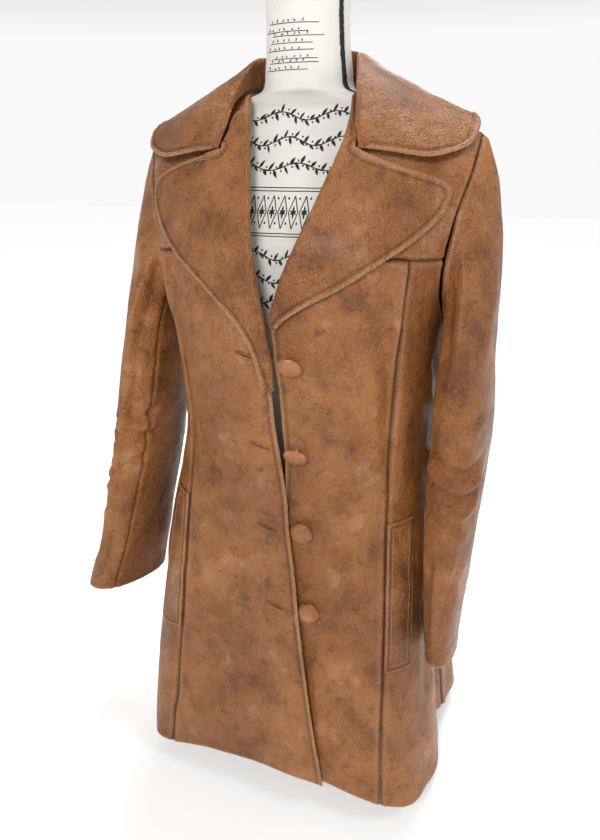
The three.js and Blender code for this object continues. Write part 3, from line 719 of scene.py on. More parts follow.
GAP = SEAM_GAP / 2
# Length of a whole run round a quarter of the body, over its half width
RUN_LENGTH = 1.3


def as_run(length, h):
    """A length on the surface as a share of the run round the body."""
    return length / (RUN_LENGTH * level(float(h))[0])


def with_gap(boundary, sign):
    return lambda h: boundary(h) + as_run(sign * GAP, h)


def inner_left(h):
    return run_at(left_edge(h), h)


def inner_right(h):
    return run_at(right_edge(h), h)


def princess(side):
    return lambda h: run_at(side * float(princess_at(h)), h)


def outer_front(h):
    return 1.0 if h < ARMPIT else float(arm_at(h)[0])


def outer_back(h):
    return 1.0 if h < ARMPIT else 2 - float(arm_at(h)[1])


def inner_back(h):
    if h <= BACK_NECK:
        return 2.0
    return abs(run_at(max(float(neck_at(h)), 0.01), h, True))


def negative(boundary):
    return lambda h: -boundary(h)


def panel_heights(low, high):
    """Levels of a panel, with more of them where the armhole turns under the arm."""
    rows = crowded(high - low) + low
    turn = ARMPIT + np.array([0, 1, 3, 6, 12])
    return np.unique(np.concatenate([rows, turn[(turn > low) & (turn < high)]]))


def body_panels():
    low = panel_heights(HEM_HEIGHT, YOKE_SEAM - GAP)
    high = to_ridge(YOKE_SEAM + GAP)
    full = np.unique(np.concatenate([panel_heights(HEM_HEIGHT, RIDGE_TURN), to_ridge(RIDGE_TURN - 10)]))
    left, right = princess(1), princess(-1)
    # Name, levels, two boundaries, and the kinds of its sides: start, end, bottom and top
    cuts = (
        ("front_left", low, inner_left, left, "free seam hem seam", {"tuck_side": "end"}),
        ("front_right", low, right, inner_right, "seam free hem seam",
         {"lift": lift_right, "tuck_side": "start"}),
        ("side_front_left", low, left, outer_front, "seam seam hem seam", {}),
        ("side_front_right", low, negative(outer_front), right, "seam seam hem seam", {}),
        ("yoke_left", high, inner_left, outer_front, "free seam seam seam", {}),
        ("yoke_right", high, negative(outer_front), inner_right, "seam free seam seam", {"lift": lift_right}),
        ("back_left", full, outer_back, inner_back, "seam seam hem seam", {}),
        ("back_right", full, negative(inner_back), negative(outer_back), "seam seam hem seam", {}),
    )
    return [panel_shell(name, heights, with_gap(start, 1), with_gap(end, -1), kinds, **extra)
            for name, heights, start, end, kinds, extra in cuts]


# Sleeves
SLEEVE_LEFT = [
    (605, 204, -33, 31, 77, 0), (560, 205, -43, 34, 75, 0), (515, 205, -52, 35, 73, 0),
    (470, 205, -61, 34, 71, 0), (430, 204, -69, 33, 69, 0), (380, 203, -78, 30, 66, 0),
    (326, 203, -88, 26, 62, 0), (275, 204, -97, 22, 59, 0), (232, 206, -105, 19, 56, 0),
]
SLEEVE_RIGHT = [
    (605, 206, -32, 31, 76, 2), (553, 212, -42, 32, 74, 3), (500, 220, -51, 31, 72, 4),
    (450, 228, -59, 31, 70, 5), (411, 235, -65, 30, 68, 7), (354, 247, -73, 29, 67, 9),
    (310, 256, -79, 29, 67, 11), (266, 266, -86, 28, 68, 14), (230, 274, -91, 27, 69, 16),
]
SLEEVE_SQUARE = 2.2
FRONT_SEAM_LEVEL = 680
BACK_SEAM_LEVEL = 705
SLEEVE_GIRTH = 340
CUFF_STITCH = 24

# Creases of the sleeves: girth from the shoulder line towards the front, and height
SLEEVE_FOLDS = {
    "left": [
        (6, -3.2, (20, 505), (60, 492), (105, 500), (140, 512)),
        (6, 2.4, (15, 490), (60, 476), (110, 484), (150, 496)),
        (6, -3.0, (25, 470), (60, 460), (110, 466), (150, 474)),
        (7, 2.2, (20, 452), (70, 443), (120, 448)),
        (6, -2.6, (30, 432), (75, 424), (125, 432), (160, 444)),
        (6, -2.0, (30, 560), (70, 548), (100, 552)),
        (8, -2.4, (35, 720), (45, 660), (60, 600)),
        (8, 2.0, (75, 740), (85, 670), (90, 610)),
        (7, -2.0, (100, 700), (112, 650), (110, 600)),
        (7, -1.8, (40, 390), (60, 340), (70, 290)),
        (8, 1.8, (90, 400), (95, 330), (92, 270)),
    ],
    "right": [
        (10, -6.0, (58, 700), (62, 600), (60, 480), (58, 360), (60, 280)),
        (7, 2.6, (82, 690), (86, 590), (84, 470), (80, 350)),
        (6, -3.0, (90, 520), (120, 505), (150, 512)),
        (6, 2.2, (85, 498), (120, 486), (155, 492)),
        (6, -2.8, (20, 490), (60, 478), (100, 486), (150, 470)),
        (6, -2.8, (15, 440), (55, 426), (110, 436), (150, 452)),
        (6, 2.2, (20, 415), (60, 402), (110, 412)),
        (6, -2.2, (30, 385), (70, 376), (120, 386)),
        (8, -2.4, (105, 720), (112, 650), (108, 590)),
        (8, 2.0, (20, 730), (22, 650), (20, 570)),
        (7, -2.0, (100, 340), (108, 300), (106, 262)),
    ],
}
# Creases of both under sides
UNDER_FOLDS = [
    (6, -2.6, (215, 505), (260, 492), (310, 500)),
    (6, 2.0, (215, 480), (260, 468), (310, 476)),
    (6, -2.4, (220, 455), (262, 446), (310, 452)),
    (8, -2.4, (300, 740), (292, 670), (280, 610)),
]


class ArmLoop:
    """The armhole's line on the body, from the shoulder down the front and up the back."""

    def __init__(self, side):
        turn = ARMPIT + 22
        down = np.unique(np.concatenate([
            np.linspace(ARMPIT, turn, 14), np.linspace(turn, RIDGE, 60),
            RIDGE - np.array([0.6, 1.5, 2.8]), [FRONT_SEAM_LEVEL, BACK_SEAM_LEVEL],
        ]))[::-1]
        up = down[::-1][1:]
        front = [body_row(side * outer_front(h), h)[0][0] for h in down]
        back = [body_row(side * outer_back(h), h)[0][0] for h in up]
        self.points = np.array(front + back)
        run = run_along(self.points)
        self.length = run[-1]
        self.shares = run / run[-1]
        self.front_seam = self.shares[int(np.argmin(np.abs(down - FRONT_SEAM_LEVEL)))]
        self.back_seam = self.shares[len(down) + int(np.argmin(np.abs(up - BACK_SEAM_LEVEL)))]

    def at(self, share):
        share = np.mod(share, 1.0)
        return np.stack([np.interp(share, self.shares, column) for column in self.points.T], -1)


def no_fold(angle, z):
    return np.zeros(np.broadcast(angle, z).shape)


def right_fold(angle, z):
    """The long fold that dents the front of the right sleeve."""
    return 7 * bump((angle - 1.05) / 0.45) * smooth((z - 240) / 80) * smooth((760 - z) / 100)


def sleeve_rings(side, sections, shares, fold):
    """Points of a sleeve below the armhole, ring by ring, and the way down at its top."""
    rows = sorted(sections)
    shape = through(rows)
    top, bottom = rows[-1][0], rows[0][0]

    def centre(z):
        x, y = shape(z)[:2]
        return np.array([side * x, y, z])

    angle = np.mod(shares, 1.0) * 2 * np.pi
    c, s = (np.sign(v) * np.abs(v) ** (2 / SLEEVE_SQUARE) for v in (np.cos(angle), np.sin(angle)))
    rings = []
    for z in top - crowded(top - bottom, start=False):
        _x, _y, thin, deep, turn = shape(z)
        axis = unit(centre(max(z - 3, bottom)) - centre(min(z + 3, top)))
        spin = math.radians(turn) * side
        depth = np.array([-math.sin(spin), math.cos(spin), 0])
        depth = unit(depth - axis * (depth @ axis))
        across = unit(np.cross(depth, axis))
        across *= side * np.sign(across[0])
        dent = fold(angle, z)
        ring = centre(z) + np.outer((thin - dent) * c, across)
        rings.append(ring - np.outer((deep - dent) * s, depth))
    return np.array(rings), unit(centre(top - 12) - centre(top))


def sleeve_cap(side, start, to, down):
    """Points from the armhole seam over the sleeve's head to its first ring."""
    reach = np.linalg.norm(to - start, axis=1, keepdims=True)
    leave = np.array([side * 0.5, 0, -0.75]) * reach * 0.9
    longest = float(reach.max())
    shares = crowded(longest, end=False)[:-1] / longest
    return np.array([hermite(s, start, leave, to, down * reach * 0.9) for s in shares])


def grid_normals(points, away):
    """Unit normals of a grid of points, on the side that a vector field points to."""
    across, along = np.gradient(points, axis=1), np.gradient(points, axis=0)
    normal = unit(np.cross(across, along))
    return normal * np.where((normal * away).sum(-1, keepdims=True).sum() < 0, -1, 1)


def sleeve_shell(name, side, loop, sections, fold, low, high, strokes):
    """One half of a sleeve, between two shares of the armhole's line."""
    gap = GAP / loop.length
    length = (high - low) * SLEEVE_GIRTH
    shares = low + gap + crowded(length) / length * (high - low - 2 * gap)
    rings, down = sleeve_rings(side, sections, shares, fold)
    start = loop.at(shares) + np.array([side * SEAM_GAP, 0, 0])
    grid = np.concatenate([sleeve_cap(side, start, rings[0], down), rings])
    middle = grid.mean(1, keepdims=True)
    if high - low > 0.5:
        middle = middle + np.array([-side * 20, 0, 0])
    normals = grid_normals(grid, grid - middle)
    normals[0] = unit(normals[0] * np.array([0.4, 1, 1]))
    u = np.broadcast_to(shares * SLEEVE_GIRTH, grid.shape[:2])
    v = grid[..., 2]
    wrapped = np.mod(u, SLEEVE_GIRTH)
    from_top = run_along(grid)
    from_cuff = from_top[-1] - from_top
    across = (shares - low) * SLEEVE_GIRTH
    seed = 20 if side > 0 else 30
    relief = 1.3 * rumple(wrapped * 1.1, v * 0.7, 60, seed) + 0.45 * rumple(wrapped, v, 24, seed + 3)
    relief = relief + 0.1 * rumple(wrapped, v, 9, seed + 6) + SLEEVE_FOLD_DEPTH * creases(wrapped, v, strokes)
    relief = relief * (0.25 + 0.75 * smooth(from_top / 14)) * smooth(from_cuff / 8 + 0.4)
    gather = noise(wrapped / 7, v * 0, seed + 8) * swell(from_top, 9, 7)
    relief = relief + 0.9 * gather + seam_dip(from_top)
    # Painted shade through the hollow mark: dark in the armhole seam, the long seams and the cuff's stitch
    # dent.
    hollow = swell(from_top, 0, 2.4)
    for far in (across, across[::-1]):
        relief = relief + seam_dip(far)
        hollow = np.maximum(hollow, 0.6 * swell(far, 0, 1.8))
    rim = swell(from_cuff, CUFF_STITCH, 1.4)
    relief = relief - 0.5 * rim + 0.4 * swell(from_cuff, 3, 2)
    hollow = np.maximum(hollow, 0.6 * rim)
    worn = swell(from_cuff, 0, 3) + 0.35 * swell(from_top, 6, 3.5)
    thickness = LEATHER + (DOUBLED - LEATHER) * (1 - smooth((from_cuff - CUFF_STITCH) / 4))
    drawn = rounding(from_cuff, DOUBLED)
    shell = Shell(name, grid, normals, np.stack([u, v], -1), relief, thickness, drawn, hollow, worn)
    shell.cuff_row = int(np.argmin(np.abs(from_cuff[:, 0] - CUFF_STITCH)))
    return shell


def sleeve_pieces():
    made = []
    for name, side, sections, fold in (
        ("left", 1, SLEEVE_LEFT, no_fold), ("right", -1, SLEEVE_RIGHT, right_fold),
    ):
        loop = ArmLoop(side)
        strokes = SLEEVE_FOLDS[name] + UNDER_FOLDS
        for half, low, high in (
            ("sleeve_top_", loop.back_seam - 1, loop.front_seam),
            ("sleeve_under_", loop.front_seam, loop.back_seam),
        ):
            made.append(sleeve_shell(half + name, side, loop, sections, fold, low, high, strokes))
    return made


# Lapels and collar
LAPEL_ROWS = {
    "left": [
        (656, 12, 655), (669, 24, 667), (688, 48, 682), (708, 84, 701), (728, 118, 723),
        (746, 146, 742), (763, 168, 762), (778, 178, 780), (790, 178, 793), (801, 165, 803),
        (812, 138, 812), (823, 108, 822), (836, 80, 832), (849, 76, 842), (864, 72, 851),
        (884, 66, 866),
    ],
    "right": [
        (582, -5, 580), (595, -7, 591), (609, -10, 604), (626, -15, 622), (645, -22, 638),
        (665, -34, 656), (685, -54, 675), (706, -84, 699), (727, -118, 722), (746, -144, 743),
        (764, -163, 763), (780, -172, 782), (792, -169, 798), (803, -155, 810), (814, -130, 820),
        (825, -103, 827), (838, -80, 832), (851, -76, 842), (866, -72, 851), (884, -66, 866),
    ],
}
ROLL_RADIUS = 5
LAPEL_GAP = 1.9
LAPEL_CLEAR = through([(0, 6.5), (0.3, 5.6), (0.7, 6), (1, 7.5)])
COLLAR_SECTIONS = [
    [(81.6, -79, 834), (94, -81.4, 833), (120, -79.5, 830), (150, -73, 826), (176, -61, 826)],
    [(78, -76, 845), (91, -80, 845), (124, -76, 843), (162, -60, 838), (193, -40, 838)],
    [(73.5, -70, 858), (86, -73, 864), (122, -61, 865), (162, -38, 859), (198, -16, 855)],
    [(70, -50, 882), (73, -51, 894), (104, -36, 894), (146, -13, 881), (190, 8, 864)],
    [(67, -6, 895.5), (61, -14, 924), (86, 2, 914), (126, 24, 892), (170, 38, 863)],
    [(54, 32, 892), (55, 18, 930), (77, 38, 915), (106, 58, 888), (134, 74, 853)],
    [(33, 51, 886), (38, 46, 934), (52, 66, 915), (68, 86, 884), (82, 99, 848)],
    [(0, 61.5, 880), (0, 57, 935), (0, 79, 916), (0, 97, 882), (0, 108, 846)],
]
# The rounding of the collar's front corners: share of the fall, and how many sections it takes
COLLAR_TIP = 0.2
COLLAR_TIP_ROWS = 0.9


def body_at(x, h, lift):
    points, normals, _girth = body_surface([np.array([run_at(x, h)])], [h])
    return points[0, 0] + normals[0, 0] * float(lift(x, h)), normals[0, 0]


def lapel_grid(side, rows, roll, lift):
    """Outer face of a lapel, from under its roll line round the roll and out to its edge."""
    keyed = through([(i, *row) for i, row in enumerate(rows)])
    last = len(rows) - 1
    keys = np.concatenate([np.linspace(0, 1, 9)[:-1], np.linspace(1, last, 10 * (last - 1) + 1)])
    arc = np.radians(np.linspace(-90, -270, 15))[:-1]
    shares = np.concatenate([np.linspace(0, 0.9, 40), np.linspace(0.9, 1, 14)[1:]])
    grid = []
    for key in keys:
        h, edge_x, edge_z = keyed(key)
        root, out = body_at(float(roll(h)), h, lift)
        higher, lower = min(h + 4, RIDGE - 4), h - 4
        above = body_at(float(roll(higher)), higher, lift)[0]
        below = body_at(float(roll(lower)), lower, lift)[0]
        across = np.cross(above - below, out)
        across *= side / np.linalg.norm(across)
        radius = lerp(3.6, ROLL_RADIUS, float(smooth(key / 3)))
        spine = root - across * LAPEL_GAP + out * LEATHER
        bend = spine + np.outer(np.cos(arc), across) * radius + np.outer(np.sin(arc), out) * radius
        top = spine + out * radius
        across_chest, up_chest = lerp(top[0], edge_x, shares), lerp(top[2], edge_z, shares)
        over = over_chest(across_chest, up_chest, LAPEL_CLEAR(shares), lift)
        turned = lerp(top, over, smooth(shares / 0.25)[:, None])
        grid.append(np.concatenate([bend, turned]))
    return np.array(grid)


def far_from(points, path):
    """Distance of each grid point from a path of points."""
    flat = points.reshape(-1, 3)
    best = np.full(len(flat), np.inf)
    for a, b in zip(path[:-1], path[1:]):
        span = b - a
        t = np.clip(((flat - a) @ span) / max(span @ span, 1e-9), 0, 1)
        best = np.minimum(best, np.linalg.norm(flat - a - t[:, None] * span, axis=1))
    return best.reshape(points.shape[:2])


def turned_shell(name, grid, away, edge, seed, buckle):
    """A doubled piece with a rolled, stitched edge along the given path."""
    normals = grid_normals(grid, away)
    far = far_from(grid, edge)
    u, v = run_along(grid, 1), run_along(grid, 0)
    x, z = grid[..., 0], grid[..., 2] + grid[..., 1]
    relief = 0.5 * rumple(x, z, 46, seed) + 0.3 * rumple(x, z, 17, seed + 3)
    relief = relief + 0.12 * rumple(x, z, 7, seed + 5)
    pucker = noise(v / 4.6, u * 0, seed + 7) * swell(far, 5, 5)
    stitched = swell(far, STITCH_INSET, 1.3)
    relief = relief * smooth(far / 6 + 0.2) + buckle * pucker + 0.55 * swell(far, 2.4, 1.8) - 0.75 * stitched
    thickness = np.full(far.shape, DOUBLED)
    # 0.7 * stitched is the hollow mark: painted shade in the stitch dent.
    shell = Shell(name, grid, normals, np.stack([u, v], -1), relief, thickness, rounding(far, DOUBLED),
                  0.7 * stitched, swell(far, 0, 3.2))
    shell.edge = edge
    return shell


def lapel_shells():
    made = []
    for name, side, roll, lift in (("left", 1, roll_left, no_lift), ("right", -1, roll_right, lift_right)):
        grid = lapel_grid(side, LAPEL_ROWS[name], roll, lift)
        away = np.broadcast_to(np.array([0, -1.0, 0.2]), grid.shape)
        corner = int(len(grid) * (len(LAPEL_ROWS[name]) - 3.5) / (len(LAPEL_ROWS[name]) - 1))
        made.append(turned_shell("lapel_" + name, grid, away, grid[:corner, -1], 50 + side, 0.35))
    return made


def collar_shell():
    along = through([(i, *np.ravel(section)) for i, section in enumerate(COLLAR_SECTIONS)])
    last = len(COLLAR_SECTIONS) - 1
    near = np.array([0, 0.04, 0.09, 0.15, 0.22])
    half = np.concatenate([near, np.linspace(0.3, last, 88)])
    places = np.concatenate([np.linspace(0, 3.85, 46), np.linspace(3.88, 4, 6)])
    rows = []
    for key in half:
        values = along(key).reshape(5, 3)
        across = through([(k, *values[k]) for k in range(5)])
        reach = 1 - COLLAR_TIP * (1 - math.sqrt(1 - (1 - min(key / COLLAR_TIP_ROWS, 1)) ** 2))
        rows.append(across(places * reach))
    left = np.array(rows)
    mirror = left[::-1][1:] * np.array([-1, 1, 1])
    grid = np.concatenate([left, mirror])
    edge = np.concatenate([grid[0, 14:], grid[1:-1, -1], grid[-1, ::-1][:-14]])
    away = grid * np.array([1, 1, 0]) + np.array([0, 0, 60.0])
    return turned_shell("collar", grid, away, edge, 70, 0.45)


# Pocket welts
WELT_TOP = 408
WELT_BOTTOM = 223
WELT_WIDTH = 31
WELT_STAND = 0.4
WELT_INSET = 4.4
WELT_SPACING = 2.4


def welt_shell(name, side):
    """An upright welt that lies on the side front, beside the princess seam."""
    heights = WELT_BOTTOM + crowded(WELT_TOP - WELT_BOTTOM, WELT_SPACING)
    across = crowded(WELT_WIDTH, WELT_SPACING)
    inner = princess(side)
    q = [np.sort(inner(h) + as_run(side * 4 * GAP, h) + as_run(side * across, h)) for h in heights]
    points, normals, girth = body_surface(q, heights)
    u = np.abs(girth - girth[:, [0 if side > 0 else -1]])
    v = np.broadcast_to(heights[:, None], u.shape)
    far = np.minimum(np.minimum(u, u.max() - u), np.minimum(v - WELT_BOTTOM, WELT_TOP - v))
    base = body_relief(girth, v)
    relief = base + WELT_STAND + DOUBLED + 0.5 * rumple(u, v, 21, 90 + side)
    diagonal = noise((u + v * 0.55) / 9, (v - u) / 46, 94 + side)
    stitched = swell(far, WELT_INSET, 1.1)
    relief = relief + 0.8 * diagonal * smooth((far - 4) / 5) + 0.4 * swell(far, 2, 1.6) - 0.7 * stitched
    thickness = relief - base - 0.25
    drawn = np.minimum(rounding(far, DOUBLED), thickness / 2 - 0.1)
    # 0.55 * stitched is the hollow mark: painted shade in the stitch dent.
    return Shell(name, points, normals, np.stack([u, v], -1), relief, thickness, drawn,
                 0.55 * stitched, swell(far, 0, 2.2))


# Small parts
BUTTONS = [(27, 617, 28), (29, 506, 28), (34, 397, 4), (45, 289, 0)]
BUTTON_RADIUS = 14
BUTTON_DOME = 4.2
BUTTON_RIM = 1.6
BUTTON_SHANK = 3.2
BUTTON_STEM = 3.5
HOLE_LEAN = -13
HOLE_LENGTH = 27
LIP_BOW = 1.6
SLIT_HALF = 11.5
HOLES = [(-26, 620), (-17, 507), (-10.5, 400.5), (5, 296)]


def lathe(profile, segments, wave=None):
    """A turned form about +Z from (radius, height) pairs that begin and end on the axis."""
    profile = np.array(profile, float)
    angle = np.linspace(0, 2 * np.pi, segments, endpoint=False)
    radius, height = (np.repeat(column[1:-1, None], segments, 1) for column in profile.T)
    if wave is not None:
        radius, height = wave(radius, height, angle[None, :])
    rings = np.stack([radius * np.cos(angle), radius * np.sin(angle), height], -1)
    return closed_rings(rings, [[0, 0, profile[0, 1]], [0, 0, profile[-1, 1]]])


def place_on(points, origin, out, up=(0, 0, 1)):
    """Moves points made about +Z so that +Z becomes the given direction at the given place."""
    out = np.array(out) / np.linalg.norm(out)
    side = np.cross(up, out)
    side /= np.linalg.norm(side)
    top = np.cross(out, side)
    return np.asarray(origin) + points[:, :1] * side + points[:, 1:2] * top + points[:, 2:] * out


def button_form(i, x, z, droop):
    neck = BUTTON_SHANK + (6 if droop > 10 else 0)
    r, rim, dome, stem = BUTTON_RADIUS, BUTTON_RIM, BUTTON_DOME, BUTTON_STEM
    crown = smooth_profile([
        (r - 1.5, neck), (r, neck + rim / 2), (r - 0.4, neck + rim), (r * 0.78, neck + rim + dome * 0.55),
        (r * 0.42, neck + rim + dome * 0.88), (0.4, neck + rim + dome),
    ], 26)
    shank = [(0, 0), (stem, 0), (stem * 0.8, 0.7), (stem * 0.8, neck - 0.6), (stem, neck), (r - 3, neck)]
    profile = [*shank, *crown, (0, neck + rim + dome)]
    offset = i * 11

    def wraps(radius, height, angle):
        up = smooth((height - neck - 0.5) / 2)
        ripple = noise(angle * 3.2 + offset, radius / 4, 97) * 0.35
        ripple = ripple + noise(angle * 9, radius / 2.5, 98) * 0.14
        return radius, height + ripple * up * smooth(radius / 4)

    points, faces = lathe(profile, 56, wraps)
    out = chest_normal(np.array(float(x)), np.array(float(z)))
    turn = Matrix.Rotation(math.radians(droop), 3, "X")
    aim = np.array(turn @ Vector(out))
    seat = over_chest(float(x), float(z), 0.4 + stem * math.sin(math.radians(droop)))
    base_relief = on_chest_relief(PIECES["front_left"], x, z)
    seat = seat + out * max(base_relief, 0)
    return place_on(points, seat, aim), faces


def tube(points, radius, segments, normal):
    """A tapered closed tube along points: radius has one number for each point."""
    points = np.array(points, float)
    forward = unit(np.gradient(points, axis=0))
    side = unit(np.cross(np.broadcast_to(np.asarray(normal, float), forward.shape), forward))
    up = np.cross(forward, side)
    angle = np.linspace(0, 2 * np.pi, segments, endpoint=False)
    rings = points[:, None] + np.reshape(radius, (-1, 1, 1)) * (
        np.cos(angle)[None, :, None] * side[:, None] + np.sin(angle)[None, :, None] * up[:, None])
    return closed_rings(rings, points[[0, -1]])


def join(parts):
    """One set of points and faces from several."""
    points, groups, base = [], {}, 0
    for part_points, part_faces in parts:
        for group in faced_out(part_points, part_faces):
            groups.setdefault(group.shape[1], []).append(group + base)
        points.append(part_points)
        base += len(part_points)
    return np.concatenate(points), [np.concatenate(group) for group in groups.values()]


def search_tree(points, faces):
    return BVHTree.FromPolygons([tuple(p) for p in points], faces.tolist())


def outer_tree(shell):
    """The outer face of a shell as a search tree, in millimetres."""
    rows, columns = shell.hollow.shape
    index = np.arange(rows * columns).reshape(rows, columns)
    faces = np.stack([index[:-1, :-1], index[:-1, 1:], index[1:, 1:], index[1:, :-1]], -1).reshape(-1, 4)
    return search_tree(shell.outer.reshape(-1, 3), faces)


# Y of a place well in front of everything
IN_FRONT = -400


def seen_from_front(tree, x, z):
    """Where a line from the front meets a surface, and the normal there, or nothing."""
    seat, normal, _index, _far = tree.ray_cast(Vector((x, IN_FRONT, z)), Vector((0, 1, 0)))
    return None if seat is None else (np.array(seat), np.array(normal))


STITCH_STEP = 3.8
STITCH_LENGTH = 2.5
STITCH_RADIUS = 0.55


def stitches(shell, path, inset, sign, step=STITCH_STEP):
    """Stitches along a path on a shell's outer face, set in from it on the chosen side."""
    tree = outer_tree(shell)
    path = spread(path, max(int(run_along(path)[-1] / step), 2))
    forward = unit(np.gradient(path, axis=0))
    tapered = STITCH_RADIUS * np.array([0.6, 1, 1, 0.6])
    parts = []
    for point, ahead in zip(path[1:-1], forward[1:-1]):
        normal = np.array(tree.find_nearest(Vector(point))[1])
        inward = np.cross(normal, ahead) * sign
        seat, normal, _index, _far = tree.find_nearest(Vector(point + inward * inset))
        normal = np.array(normal)
        ahead = unit(ahead - normal * (ahead @ normal)) * STITCH_LENGTH
        middle = np.array(seat) + normal * 0.18
        sunk = normal * 0.3
        spots = [middle - ahead / 2 - sunk, middle - ahead / 4, middle + ahead / 4, middle + ahead / 2 - sunk]
        parts.append(tube(spots, tapered, 5, normal))
    return parts


def on_chest_relief(panel, x, z):
    """Relief of a panel at a place across and up, from its nearest grid point."""
    far = np.hypot(panel.points[..., 0] - x, panel.points[..., 2] - z)
    return float(panel.relief[np.unravel_index(int(np.argmin(far)), far.shape)])


# The dress form
FORM = [
    (318, 120, 80, 90, -8), (322, 140, 98, 104, -8), (335, 152, 108, 118, -8), (370, 154, 112, 122, -8),
    (430, 144, 108, 108, -8), (510, 128, 98, 92, -8), (570, 132, 106, 94, -8), (640, 146, 116, 104, -8),
    (700, 156, 114, 106, -8), (750, 162, 98, 102, -8), (790, 164, 78, 92, -6), (820, 163, 58, 76, -6),
    (840, 152, 46, 62, -6), (855, 138, 36, 50, -6), (864, 129, 30, 43, -6), (873.1, 117, 24, 34, -6),
    (882, 92, 28, 32, -6), (887, 72, 33, 35, -5), (892, 57, 41, 42, -3), (898, 52.5, 44, 45, -1),
    (910, 51, 46, 47, 0), (935, 48.5, 45, 46, 0), (965, 47.5, 45, 46, 0), (986, 47.5, 45, 46, 0),
]
CAP_PROFILE = [
    (0, 0), (43.5, 0), (44, 0.1), (45.6, 1.2), (46, 2.4), (46, 5.2), (45.4, 5.8), (45.4, 6.6), (46, 7.2),
    (46, 10), (45.4, 12), (44, 13), (36, 13.6), (20, 13.9), (0, 14),
]
BASE_PROFILE = [
    (0, 0), (134, 0), (135, 1), (135, 11), (134.4, 13), (133, 14.8), (131, 15.8), (126, 16), (60, 16),
    (0, 16),
]
CAP_BOTTOM = FORM[-1][0] + 0.3
POST_BOTTOM = 16.3
POST_LENGTH = 301.4
POST_PROFILE = [
    (0, 0), (25, 0), (26, 0.8), (26, 6.6), (25, 8), (22.5, 12), (18.5, 22), (16, 33), (15, 40), (15, 150),
    (15.4, 151), (15.4, 156), (15, 157), (15, POST_LENGTH - 12), (18, POST_LENGTH - 10.4),
    (26, POST_LENGTH - 8), (26, POST_LENGTH), (0, POST_LENGTH),
]


# The ornament on the form: height and half width of each vine, then heights of the ruled lines
VINES = ((866, 58), (840, 60), (814, 60), (724, 50), (700, 46), (676, 42))
RULES = (793, 790, 747, 744)
RULE_HALF = 56
BAND_MIDDLE = 768.5
LOZENGE_HALF = (5.4, 16.5)
LOZENGE_STEP = 12.5
NECK_LINES = (912, 919, 923, 931, 938, 945, 949, 957)


def torso_rings():
    """The padded torso and neck, ring by ring."""
    shape = through(FORM)
    bottom, top = FORM[0][0], FORM[-1][0]
    heights = np.unique(np.concatenate([
        np.linspace(bottom, 860, 110), np.linspace(860, 900, 34), np.linspace(900, top, 30),
    ]))
    angle = np.linspace(0, 2 * np.pi, 128, endpoint=False)
    c, s = np.cos(angle), np.sin(angle)
    rings = []
    for z in heights:
        half, front, back, mid = shape(z)
        rings.append(np.stack([half * c, mid + s * np.where(s < 0, front, back), np.full_like(angle, z)], -1))
    grid = np.array(rings)
    around = np.gradient(np.concatenate([grid[:, -1:], grid, grid[:, :1]], 1), axis=1)[:, 1:-1]
    normals = unit(np.cross(around, np.gradient(grid, axis=0)))
    away = (grid - np.array([0, -6.0, 0])) * np.array([1, 1, 0])
    normals *= np.where((normals * away).sum(-1, keepdims=True) < 0, -1, 1)
    z = grid[..., 2]
    pull = 0.5 * rumple(angle[None, :] * 120, z, 60, 110) * smooth((z - 860) / 40)
    return grid + normals * ((pull - 0.6) * smooth((top - z) / 6))[..., None]


def closed_torso(rings):
    return closed_rings(rings, [rings[0].mean(0), rings[-1].mean(0)])


def decal(tree, outline, lift=0.15, thick=0.25):
    """A thin closed patch on the form, from an outline of (across, up) seen from the front."""
    seen = [seen_from_front(tree, x, z) for x, z in outline]
    if None in seen:
        return None
    rim = np.array([seat + normal * lift for seat, normal in seen])
    seat, normal = seen_from_front(tree, *rim.mean(0)[[0, 2]])
    middle, out = seat + normal * lift, normal * thick
    count = len(rim)
    points = np.concatenate([rim + out, rim, [middle + out], [middle]])
    i = np.arange(count)
    j = np.roll(i, -1)
    front = np.stack([np.full(count, 2 * count), i, j], -1)
    behind = np.stack([np.full(count, 2 * count + 1), count + j, count + i], -1)
    sides = np.stack([i, count + i, count + j, j], -1)
    return points, [np.concatenate([front, behind]), sides]


def turned(x, z, turn, a, b):
    """The place that is a along and b beside a place, in axes turned by an angle."""
    c, s = math.cos(turn), math.sin(turn)
    return x + a * c - b * s, z + a * s + b * c


def leaf(x, z, turn, length, width):
    """Outline of a pointed leaf that starts at a place and grows in a direction."""
    t = np.linspace(0, 1, 7)
    half = width / 2 * np.sin(np.pi * t ** 0.8)
    outline = [*zip(t * length, half), *list(zip(t * length, -half))[-2:0:-1]]
    return [turned(x, z, turn, a, b) for a, b in outline]


def stroke(tree, path, widths, lift=0.12, thick=0.22):
    """A thin closed ribbon on a surface, along a path of (across, up) seen from the front."""
    path = np.array(path, float)
    forward = unit(np.gradient(path, axis=0))
    side = np.stack([-forward[:, 1], forward[:, 0]], -1) * np.reshape(widths, (-1, 1)) / 2
    seen = [seen_from_front(tree, x, z) for pair in zip(path - side, path + side) for x, z in pair]
    if None in seen:
        return None
    layers = [[seat + normal * height for seat, normal in seen] for height in (lift + thick, lift)]
    return np.concatenate(layers), [sheet_faces(len(path), 2)]


def vine(tree, z, half, rng):
    """A winding stem across the chest, with leaves and small berries."""
    parts = []
    phase, swing, pitch = rng.uniform(0, 6), rng.uniform(3.2, 4.6), rng.uniform(8.5, 11)
    x = np.linspace(-half, half, int(half * 1.6))
    rise = swing * np.sin(x / pitch + phase)
    parts.append(stroke(tree, np.stack([x, z + rise], -1), 0.9 + 0.7 * np.sin(x / 5 + phase) ** 2))
    for k, at in enumerate(np.arange(-half + 3, half - 2, 6.2)):
        base = z + swing * math.sin(at / pitch + phase)
        up = 1 if k % 2 else -1
        turn = up * rng.uniform(0.7, 1.25)
        parts.append(decal(tree, leaf(at, base, turn, rng.uniform(7, 10.5), rng.uniform(2.6, 3.8))))
        parts.append(decal(tree, leaf(at + 2.6, base - up * 3.6, turn, 2.4, 2.2)))
    return parts


